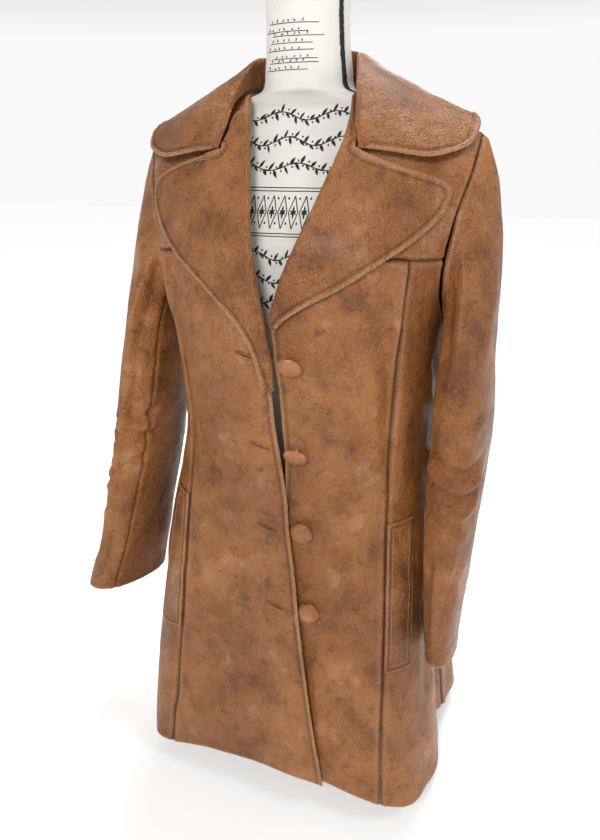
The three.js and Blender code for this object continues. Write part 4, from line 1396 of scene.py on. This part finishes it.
def ruled(tree, z, low, high, width, rng):
    """A line across the form that wavers a little."""
    x = np.linspace(low, high, 30)
    waver = 0.25 * np.cumsum(rng.uniform(-1, 1, len(x))) * 0.3
    return stroke(tree, np.stack([x, z + waver], -1), np.full(len(x), width))


def lozenge_band(tree, x):
    """One lozenge of the ruled band, with a flower of leaves in it and two leaves beside it."""
    half, rise = LOZENGE_HALF
    middle = BAND_MIDDLE
    corners = [(x - half, middle), (x, middle + rise), (x + half, middle), (x, middle - rise)]
    parts = [stroke(tree, np.linspace(a, b, 8), np.full(8, 1.1))
             for a, b in zip(corners, corners[1:] + corners[:1])]
    for turn, length in ((0.5, 4), (1.57, 7), (2.64, 4), (3.64, 4), (4.71, 7), (5.78, 4)):
        parts.append(decal(tree, leaf(x, middle, turn, length, 2.2)))
    for drop in (-12.5, 12.5):
        parts.append(decal(tree, leaf(x + half, middle + drop, 1.57, 3, 2.2)))
    return parts


def ornament(tree):
    """The chest's ornament: rows of vines, a ruled band of lozenges, and lines on the neck."""
    rng = np.random.default_rng(SEED)
    parts = []
    for z, half in VINES:
        parts += vine(tree, z, half, rng)
    for z in RULES:
        parts.append(ruled(tree, z, -RULE_HALF, RULE_HALF, 0.9, rng))
    for k in range(-4, 5):
        parts += lozenge_band(tree, k * LOZENGE_STEP)
    for k, z in enumerate(NECK_LINES):
        low = -38 + 5 * (k % 3)
        parts.append(ruled(tree, z, low, low + 52 + 6 * (k % 2), 0.7, rng))
        for at in np.arange(low + 4, low + 48, 7.5):
            parts.append(decal(tree, leaf(at, z + 1, rng.uniform(0.4, 2.6), rng.uniform(2.5, 4), 1.3)))
    return join([part for part in parts if part is not None])


def seam_tape():
    """The dark tape with rough edges that runs down the form's neck on the wearer's left."""
    shape = through(FORM)
    centre = -0.4
    rows = []
    for k, z in enumerate(np.linspace(868, 984, 60)):
        half, front, _back, mid = shape(z)
        width = 0.062 + 0.012 * float(noise(np.array(k * 0.7), np.array(0.0), 120))
        edge = 0.01 * float(noise(np.array(k * 1.3), np.array(5.0), 121))
        angles = np.linspace(centre - width + edge, centre + width + edge, 7)
        out = 1.4 - 0.5 * np.abs(np.linspace(-1, 1, 7)) ** 4
        place = [(half + out) * np.cos(angles), mid + np.sin(angles) * (front + out), np.full(7, z)]
        rows.append(np.stack(place, -1))
    outer = np.array(rows)
    inner = outer - unit(outer * np.array([1, 1, 0])) * 2.2
    return np.concatenate([outer.reshape(-1, 3), inner.reshape(-1, 3)]), [sheet_faces(*outer.shape[:2])]


# Materials
class Nodes:
    """The nodes of a material or a world, made and joined in short calls."""

    def __init__(self, owner, shader="BSDF_PRINCIPLED"):
        owner.use_nodes = True
        self.owner, self.tree = owner, owner.node_tree
        self.shader = next(n for n in self.tree.nodes if n.type == shader)
        self.coordinates = self.node("ShaderNodeTexCoord").outputs
        self.place = self.coordinates["Object"]

    def node(self, kind, inputs=(), **settings):
        """A node with some of its inputs, by name or number, fed from a socket or a value."""
        node = self.tree.nodes.new(kind)
        for key, value in settings.items():
            setattr(node, key, value)
        for key, value in dict(inputs).items():
            self.feed(node.inputs[key], value)
        return node

    def feed(self, socket, value):
        if isinstance(value, bpy.types.NodeSocket):
            self.tree.links.new(value, socket)
        else:
            socket.default_value = value

    def noise(self, scale, detail=4, roughness=0.55, distortion=0.0):
        inputs = {"Vector": self.place, "Scale": scale, "Detail": detail, "Roughness": roughness,
                  "Distortion": distortion}
        return self.node("ShaderNodeTexNoise", inputs).outputs["Fac"]

    def voronoi(self, scale, feature="F1"):
        inputs = {"Vector": self.place, "Scale": scale}
        return self.node("ShaderNodeTexVoronoi", inputs, feature=feature).outputs["Distance"]

    def ramp(self, value, start, end, kind="SMOOTHSTEP"):
        """A curve from a value to another, through two (place, value) pairs."""
        names = ("From Min", "To Min", "From Max", "To Max")
        inputs = {"Value": value, **dict(zip(names, (*start, *end)))}
        return self.node("ShaderNodeMapRange", inputs, interpolation_type=kind).outputs["Result"]

    def math(self, operation, a, b):
        return self.node("ShaderNodeMath", {0: a, 1: b}, operation=operation).outputs[0]

    def mix(self, factor, a, b):
        return self.node("ShaderNodeMix", {0: factor, 6: a, 7: b}, data_type="RGBA").outputs[2]

    def mark(self, name):
        return self.node("ShaderNodeAttribute", attribute_name=name).outputs["Fac"]

    def bump(self, height, distance, strength, base=None):
        inputs = {"Height": height, "Distance": distance, "Strength": strength}
        if base is not None:
            inputs["Normal"] = base
        return self.node("ShaderNodeBump", inputs).outputs["Normal"]

    def finish(self, **inputs):
        """Feeds the shader's inputs, with _ for each space in their names."""
        for key, value in inputs.items():
            self.feed(self.shader.inputs[key.replace("_", " ")], value)
        return self.owner


def new_material(name):
    return Nodes(bpy.data.materials.new(name))


def rgb(red, green, blue):
    """A colour from 0 to 255 in sRGB, as the shader's linear colour."""
    line = lambda c: c / 12.92 if c <= 0.04045 else ((c + 0.055) / 1.055) ** 2.4
    return (*(line(v / 255) for v in (red, green, blue)), 1.0)


SCUFF = rgb(196, 156, 124)
RUBBED = rgb(196, 148, 108)
# Painted shade: the dark colour laid into the seams and stitch dents.
PAINTED_HOLLOW_SHADE = rgb(44, 24, 14)


def leather_material(name, mid, dark, pale, gloss, grain=1.0):
    """Worn leather: blotches, stains, scuffs and rubbed edges over a pebbled, creased grain, with shade
    painted dark into the seams and stitch dents.
    """
    n = new_material(name)
    patches, small, specks = n.noise(21, 4, 0.6), n.noise(70, 4, 0.7), n.noise(1000, 2, 0.7)
    color = mid
    # Each layer's pattern, where it begins and is full, its share and its colour
    for pattern, low, high, share, tint in (
        (n.noise(6, 2, 0.5), 0.36, 0.66, 0.85, pale), (patches, 0.44, 0.78, 0.7, dark),
        (small, 0.48, 0.74, 0.6, dark), (n.noise(260, 3, 0.7), 0.5, 0.7, 0.5, pale),
        (specks, 0.5, 0.66, 0.6, dark),
    ):
        color = n.mix(n.ramp(pattern, (low, 0.0), (high, share)), color, tint)
    bare, dusty = n.ramp(patches, (0.34, 1.0), (0.42, 0.0)), n.ramp(specks, (0.45, 0.0), (0.6, 1.0))
    scuff = n.math("MULTIPLY", bare, dusty)
    worn = n.math("MULTIPLY", n.mark("worn"), n.ramp(small, (0.36, 0.35), (0.56, 1.0)))
    # Where the leather dips at seams and stitches: painted shade, darkened below and made a little rougher.
    hollow = n.mark("hollow")
    for pattern, share, tint in ((scuff, 0.55, SCUFF), (worn, 0.62, RUBBED), (hollow, 0.66, PAINTED_HOLLOW_SHADE)):
        color = n.mix(n.math("MULTIPLY", pattern, share), color, tint)
    cracks = n.ramp(n.voronoi(230, "DISTANCE_TO_EDGE"), (0.0, 0.0), (0.12, 1.0))
    normal = n.bump(n.noise(85, 3, 0.62, 0.8), 0.0034 * grain, 0.9)
    normal = n.bump(cracks, 0.00035, 0.7 * grain, normal)
    normal = n.bump(n.voronoi(650), 0.001, 0.9 * grain, normal)
    normal = n.bump(specks, 0.00025, 0.7, normal)
    rough = n.ramp(patches, (0.3, gloss - 0.06), (0.7, gloss + 0.12))
    rough = n.math("ADD", rough, n.math("MULTIPLY", hollow, 0.2))
    return n.finish(Base_Color=color, Roughness=rough, Normal=normal, Specular_IOR_Level=0.36,
                    Coat_Weight=0.14, Coat_Roughness=0.3)


def shaded(color, share):
    """A colour with each channel brought down to a share."""
    return tuple(v * share for v in color[:3]) + (1.0,)


def plain_material(name, color, roughness, bump_scale, bump_depth):
    """A plain matt or polished colour, a little uneven in tone, gloss and height."""
    n = new_material(name)
    tone = n.noise(bump_scale, 5, 0.6)
    return n.finish(
        Base_Color=n.mix(n.ramp(tone, (0.35, 0.0), (0.65, 1.0)), color, shaded(color, 0.75)),
        Roughness=n.ramp(tone, (0.3, roughness - 0.06), (0.7, roughness + 0.08)),
        Normal=n.bump(n.noise(bump_scale * 2.2, 4, 0.6), bump_depth, 1.0))


def cover_material(name, color):
    """The form's woven cover: a fine plain weave with faint stains."""
    n = new_material(name)
    shade = shaded(color, 0.82)
    base = n.mix(n.ramp(n.noise(14, 5, 0.6, 0.5), (0.4, 0.0), (0.7, 0.6)), color, shade)
    base = n.mix(n.ramp(n.noise(9, 3, 0.5, 1.0), (0.66, 0.0), (0.8, 0.25)), base, rgb(176, 196, 186))
    threads = {"Vector": n.place, "Scale": 420, "Distortion": 0.6, "Detail": 1.0}
    warp, weft = (n.node("ShaderNodeTexWave", threads, bands_direction=axis).outputs["Fac"] for axis in "XZ")
    weave = n.math("MULTIPLY", warp, weft)
    base = n.mix(n.math("MULTIPLY", weave, 0.12), base, shade)
    normal = n.bump(weave, 0.00025, 0.6, n.bump(n.noise(40, 4), 0.001, 0.4))
    return n.finish(Base_Color=base, Roughness=0.88, Normal=normal, Sheen_Weight=0.25)


# The stage and the add-on
IMAGE = (600, 840)
CAMERA_PLACE = (-0.006, -0.002, 0.5)
CAMERA_FAR = 0.935
CAMERA_AZIMUTH = 19.8
CAMERA_ELEVATION = 22.7
CAMERA_ROLL = -1.1
CAMERA_FOCUS = 682
CAMERA_SHIFT = (-10, -14)
FLOOR_HALF = 6.0
LIGHT_AIM = (0, 0, 0.55)
# Name, place, size, power and tint
LIGHTS = (
    ("key", (0.1, -2.0, 1.9), 0.7, 30, (1, 0.98, 0.96)),
    ("fill", (1.5, -0.4, 2.2), 0.6, 10, (0.98, 0.98, 1)),
    ("top", (0.2, 0.6, 2.2), 0.8, 22, (1, 0.98, 1)),
    ("back", (-0.6, 2.2, 1.5), 1.0, 16, (1, 1, 1)),
)


def make_camera():
    width = 36
    data = bpy.data.cameras.new("camera")
    data.lens = CAMERA_FOCUS / IMAGE[1] * width
    data.sensor_width = width
    data.shift_x, data.shift_y = (shift / IMAGE[1] for shift in CAMERA_SHIFT)
    data.clip_start, data.clip_end = 0.01, 50
    camera = put("camera", data)
    azimuth, rise, roll = map(math.radians, (CAMERA_AZIMUTH, CAMERA_ELEVATION, CAMERA_ROLL))
    back = Vector((math.sin(azimuth) * math.cos(rise), -math.cos(azimuth) * math.cos(rise), math.sin(rise)))
    right = (-back).cross(Vector((0, 0, 1))).normalized()
    up = right.cross(-back)
    across = right * math.cos(roll) + up * math.sin(roll)
    above = up * math.cos(roll) - right * math.sin(roll)
    turn = Matrix((across, above, back)).transposed()
    camera.matrix_world = Matrix.Translation(Vector(CAMERA_PLACE) + back * CAMERA_FAR) @ turn.to_4x4()
    bpy.context.scene.camera = camera
    bpy.context.scene.view_settings.view_transform = "Standard"


def make_floor():
    """White paper that brightens with distance, so that no horizon shows."""
    mesh = bpy.data.meshes.new("floor")
    corners = [(x * FLOOR_HALF, y * FLOOR_HALF, 0) for x, y in ((-1, -1), (1, -1), (1, 1), (-1, 1))]
    mesh.from_pydata(corners, [], [(0, 1, 2, 3)])
    n = new_material("floor_paper")
    reach = n.node("ShaderNodeVectorMath", {0: n.place}, operation="LENGTH").outputs["Value"]
    glow = n.ramp(reach, (0.9, 0.35), (3.2, 0.72), "LINEAR")
    mesh.materials.append(n.finish(Base_Color=rgb(246, 246, 245), Roughness=0.95, Emission_Color=(1, 1, 1, 1),
                                   Emission_Strength=glow))
    put("floor", mesh)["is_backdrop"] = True


def make_world():
    """White light from low down that fades upwards."""
    n = Nodes(bpy.data.worlds.new("studio"), "BACKGROUND")
    rise = n.node("ShaderNodeSeparateXYZ", {0: n.coordinates["Generated"]}).outputs["Z"]
    fade = n.ramp(rise, (0.1, 0.95), (0.34, 0.22), "LINEAR")
    bpy.context.scene.world = n.finish(Color=(1, 1, 1, 1), Strength=fade)


def make_lights():
    for name, place, size, power, tint in LIGHTS:
        data = bpy.data.lights.new(name, "AREA")
        data.shape, data.size, data.energy, data.color = "SQUARE", size, power, tint
        light = put(name, data)
        light.location = place
        light.rotation_euler = (Vector(LIGHT_AIM) - Vector(place)).to_track_quat("-Z", "Y").to_euler()


def colour(name, description, value):
    """A colour among the add-on's settings."""
    return bpy.props.FloatVectorProperty(
        name=name, description=description, subtype="COLOR", size=4, default=rgb(*value), min=0, max=1)


class CoatSettings(bpy.types.PropertyGroup):
    leather: colour("Leather", "Middle colour of the leather", (146, 90, 46))
    leather_dark: colour("Dark leather", "Colour of the stains and the deep creases", (74, 40, 22))
    leather_pale: colour("Pale leather", "Colour of the faded places", (174, 114, 60))
    thread: colour("Thread", "Colour of the topstitching", (194, 150, 110))
    cover: colour("Cover", "Colour of the dress form's cover", (226, 224, 217))
    stitch_step: bpy.props.FloatProperty(
        name="Stitch step", description="Distance from stitch to stitch in millimetres",
        default=STITCH_STEP, min=2, max=8)


def leather_of(name, gloss, grain=1.0):
    """The leather material of one kind, made once."""
    if name not in bpy.data.materials:
        settings = bpy.context.scene.coat_settings
        leather_material(name, tuple(settings.leather), tuple(settings.leather_dark),
                         tuple(settings.leather_pale), gloss, grain)
    return bpy.data.materials[name]


def panel_leather():
    return leather_of("cognac_panel", 0.42)


def trim_leather():
    return leather_of("cognac_trim", 0.33, 1.3)


def add_form(name, form, material, replaces=()):
    """A piece from its points and faces."""
    return add_piece(name, make_mesh(name, *form), material, replaces)


class COAT_OT_stage(bpy.types.Operator):
    """Sets up the camera, the floor and the lights"""
    bl_idname = "coat.stage"
    bl_label = "Stage"

    def execute(self, context):
        make_camera()
        make_floor()
        make_world()
        make_lights()
        return {"FINISHED"}


class COAT_OT_dress_form(bpy.types.Operator):
    """Makes the padded form with its cap, post and base"""
    bl_idname = "coat.dress_form"
    bl_label = "Dress form"

    def execute(self, context):
        settings = context.scene.coat_settings
        rings = torso_rings()
        points, faces = torso = closed_torso(rings)
        cover = cover_material("cover", tuple(settings.cover))
        add_form("form_cover", torso, cover, ["form_torso"])
        ink = plain_material("ink", rgb(34, 32, 34), 0.8, 300, 0.0001)
        add_form("form_ornament", ornament(search_tree(points, faces[0])), ink)
        tape = plain_material("tape", rgb(26, 25, 25), 0.75, 500, 0.0003)
        add_form("form_tape", seam_tape(), tape)
        wood = plain_material("black_wood", rgb(30, 28, 27), 0.35, 60, 0.0002)
        metal = plain_material("black_paint", rgb(28, 28, 29), 0.38, 90, 0.0001)
        for name, profile, height, material, slot, node in (
            ("form_turned_cap", CAP_PROFILE, CAP_BOTTOM, wood, "form_wood", "form_cap"),
            ("form_stem", POST_PROFILE, POST_BOTTOM, metal, "form_metal", "form_post"),
            ("form_foot", BASE_PROFILE, 0, metal, "form_metal", "form_base"),
        ):
            points, faces = lathe(profile, 96)
            add_form(name, (points + np.array([0, 0, height]), faces), material, [node])
        return {"FINISHED"}


class COAT_OT_panels(bpy.types.Operator):
    """Cuts and hangs the body panels"""
    bl_idname = "coat.panels"
    bl_label = "Panels"

    def execute(self, context):
        for panel in body_panels():
            panel.build(panel_leather(), "leather_panel", ["form_torso"])
        return {"FINISHED"}


class COAT_OT_sleeves(bpy.types.Operator):
    """Sews in the two-piece sleeves"""
    bl_idname = "coat.sleeves"
    bl_label = "Sleeves"

    def execute(self, context):
        for shell in sleeve_pieces():
            shell.build(panel_leather(), "leather_panel", ["side_front_left", "side_front_right"], "hung")
        return {"FINISHED"}


class COAT_OT_trim(bpy.types.Operator):
    """Turns the lapels and the collar, and sets the pocket welts"""
    bl_idname = "coat.trim"
    bl_label = "Collar, lapels and welts"

    def execute(self, context):
        material = trim_leather()
        for shell in lapel_shells():
            shell.build(material, "leather_trim", ["front_left", "front_right"], "folded")
        collar_shell().build(material, "leather_trim", ["yoke_left", "yoke_right"], "folded")
        for name, side in (("left", 1), ("right", -1)):
            shell = welt_shell("pocket_welt_" + name, side)
            shell.build(material, "leather_trim", ["side_front_" + name], "laid")
        return {"FINISHED"}


def buttonhole(tree, x, z):
    """Two raised lips, and a dark strip of painted shade on the slit between them, which slants down towards
    the front edge.
    """
    lean = math.radians(HOLE_LEAN)
    t = np.linspace(-1, 1, 15)
    lips = []
    for sign in (-1, 1):
        spots = []
        for s in t:
            bow = math.sqrt(max(1 - (s * 0.96) ** 2, 0.02))
            place = turned(x, z, lean, s * HOLE_LENGTH / 2, sign * LIP_BOW * bow)
            seat, normal = seen_from_front(tree, *place)
            spots.append(seat + normal * 0.2)
        lips.append(tube(spots, 1.15 - 0.45 * np.abs(t) ** 3, 8, (0, -1, 0.1)))
    t = np.linspace(-1, 1, 9)
    path = np.stack(turned(x, z, lean, t * SLIT_HALF, 0), -1)
    return lips, stroke(tree, path, 1.6 - 1.1 * t * t, 0.1, 0.5)


class COAT_OT_buttons(bpy.types.Operator):
    """Sews on the buttons and works the buttonholes"""
    bl_idname = "coat.buttons"
    bl_label = "Buttons"

    def execute(self, context):
        settings = context.scene.coat_settings
        material = leather_material("cognac_button", rgb(152, 96, 54), tuple(settings.leather_dark),
                                    rgb(186, 128, 80), 0.22, 0.35)
        for i, (x, z, droop) in enumerate(BUTTONS):
            node = f"button_{i + 1}"
            add_form(node + "_leather", button_form(i, x, z, droop), material, [node])
        tree = outer_tree(PIECES["front_right"])
        pairs, slit_shades = zip(*(buttonhole(tree, x, z) for x, z in HOLES))
        lips = [lip for pair in pairs for lip in pair]
        add_form("buttonhole_lips", join(lips), trim_leather())
        # Painted shade: a dark strip where the slit's opening lies in shade.
        dark = plain_material("slit", rgb(40, 22, 14), 0.8, 600, 0.0001)
        add_form("buttonhole_slit_shade", join(slit_shades), dark)
        return {"FINISHED"}


def stitch_parts(step):
    """Every row of topstitching on the coat."""
    rows = [(PIECES["front_left"], PIECES["front_left"].outer[4:-2, 0], STITCH_INSET, -1),
            (PIECES["front_right"], PIECES["front_right"].outer[4:-2, -1], STITCH_INSET, 1)]
    for name, sign in (("lapel_left", -1), ("lapel_right", 1), ("collar", 1)):
        rows.append((PIECES[name], PIECES[name].edge[3:-3], STITCH_INSET, sign))
    for name in ("sleeve_top_left", "sleeve_under_left", "sleeve_top_right", "sleeve_under_right"):
        rows.append((PIECES[name], PIECES[name].outer[PIECES[name].cuff_row], 0, 1))
    for name in ("pocket_welt_left", "pocket_welt_right"):
        face = PIECES[name].outer[8:-8, 6:-6]
        for path in (face[0, :-1], face[:-1, -1], face[-1, -2::-1], face[-2::-1, 0]):
            rows.append((PIECES[name], path, 0, 1))
    return [stitch for row in rows for stitch in stitches(*row, step)]


class COAT_OT_stitches(bpy.types.Operator):
    """Sews the rows of topstitching"""
    bl_idname = "coat.stitches"
    bl_label = "Topstitching"

    def execute(self, context):
        settings = context.scene.coat_settings
        thread = plain_material("thread", tuple(settings.thread), 0.6, 900, 0.0001)
        add_form("topstitching", join(stitch_parts(settings.stitch_step)), thread)
        return {"FINISHED"}


OPERATORS = (
    COAT_OT_stage, COAT_OT_dress_form, COAT_OT_panels, COAT_OT_sleeves, COAT_OT_trim, COAT_OT_buttons,
    COAT_OT_stitches,
)


class COAT_PT_panel(bpy.types.Panel):
    """The steps that make the coat, in their order"""
    bl_label = "Coat"
    bl_space_type = "VIEW_3D"
    bl_region_type = "UI"
    bl_category = "Coat"

    def draw(self, context):
        settings = context.scene.coat_settings
        for key in CoatSettings.__annotations__:
            self.layout.prop(settings, key)
        for operator in OPERATORS:
            self.layout.operator(operator.bl_idname)


def register():
    for kind in (CoatSettings, *OPERATORS, COAT_PT_panel):
        bpy.utils.register_class(kind)
    bpy.types.Scene.coat_settings = bpy.props.PointerProperty(type=CoatSettings)


def unregister():
    del bpy.types.Scene.coat_settings
    for kind in reversed((CoatSettings, *OPERATORS, COAT_PT_panel)):
        bpy.utils.unregister_class(kind)


def main():
    register()
    for operator in OPERATORS:
        group, name = operator.bl_idname.split(".")
        getattr(getattr(bpy.ops, group), name)()
    corners = lambda box: [list(corner) for corner in box]
    {"cad": corners(CAD_BOX), "visual": corners(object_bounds())}


if __name__ == "__main__":
    main()
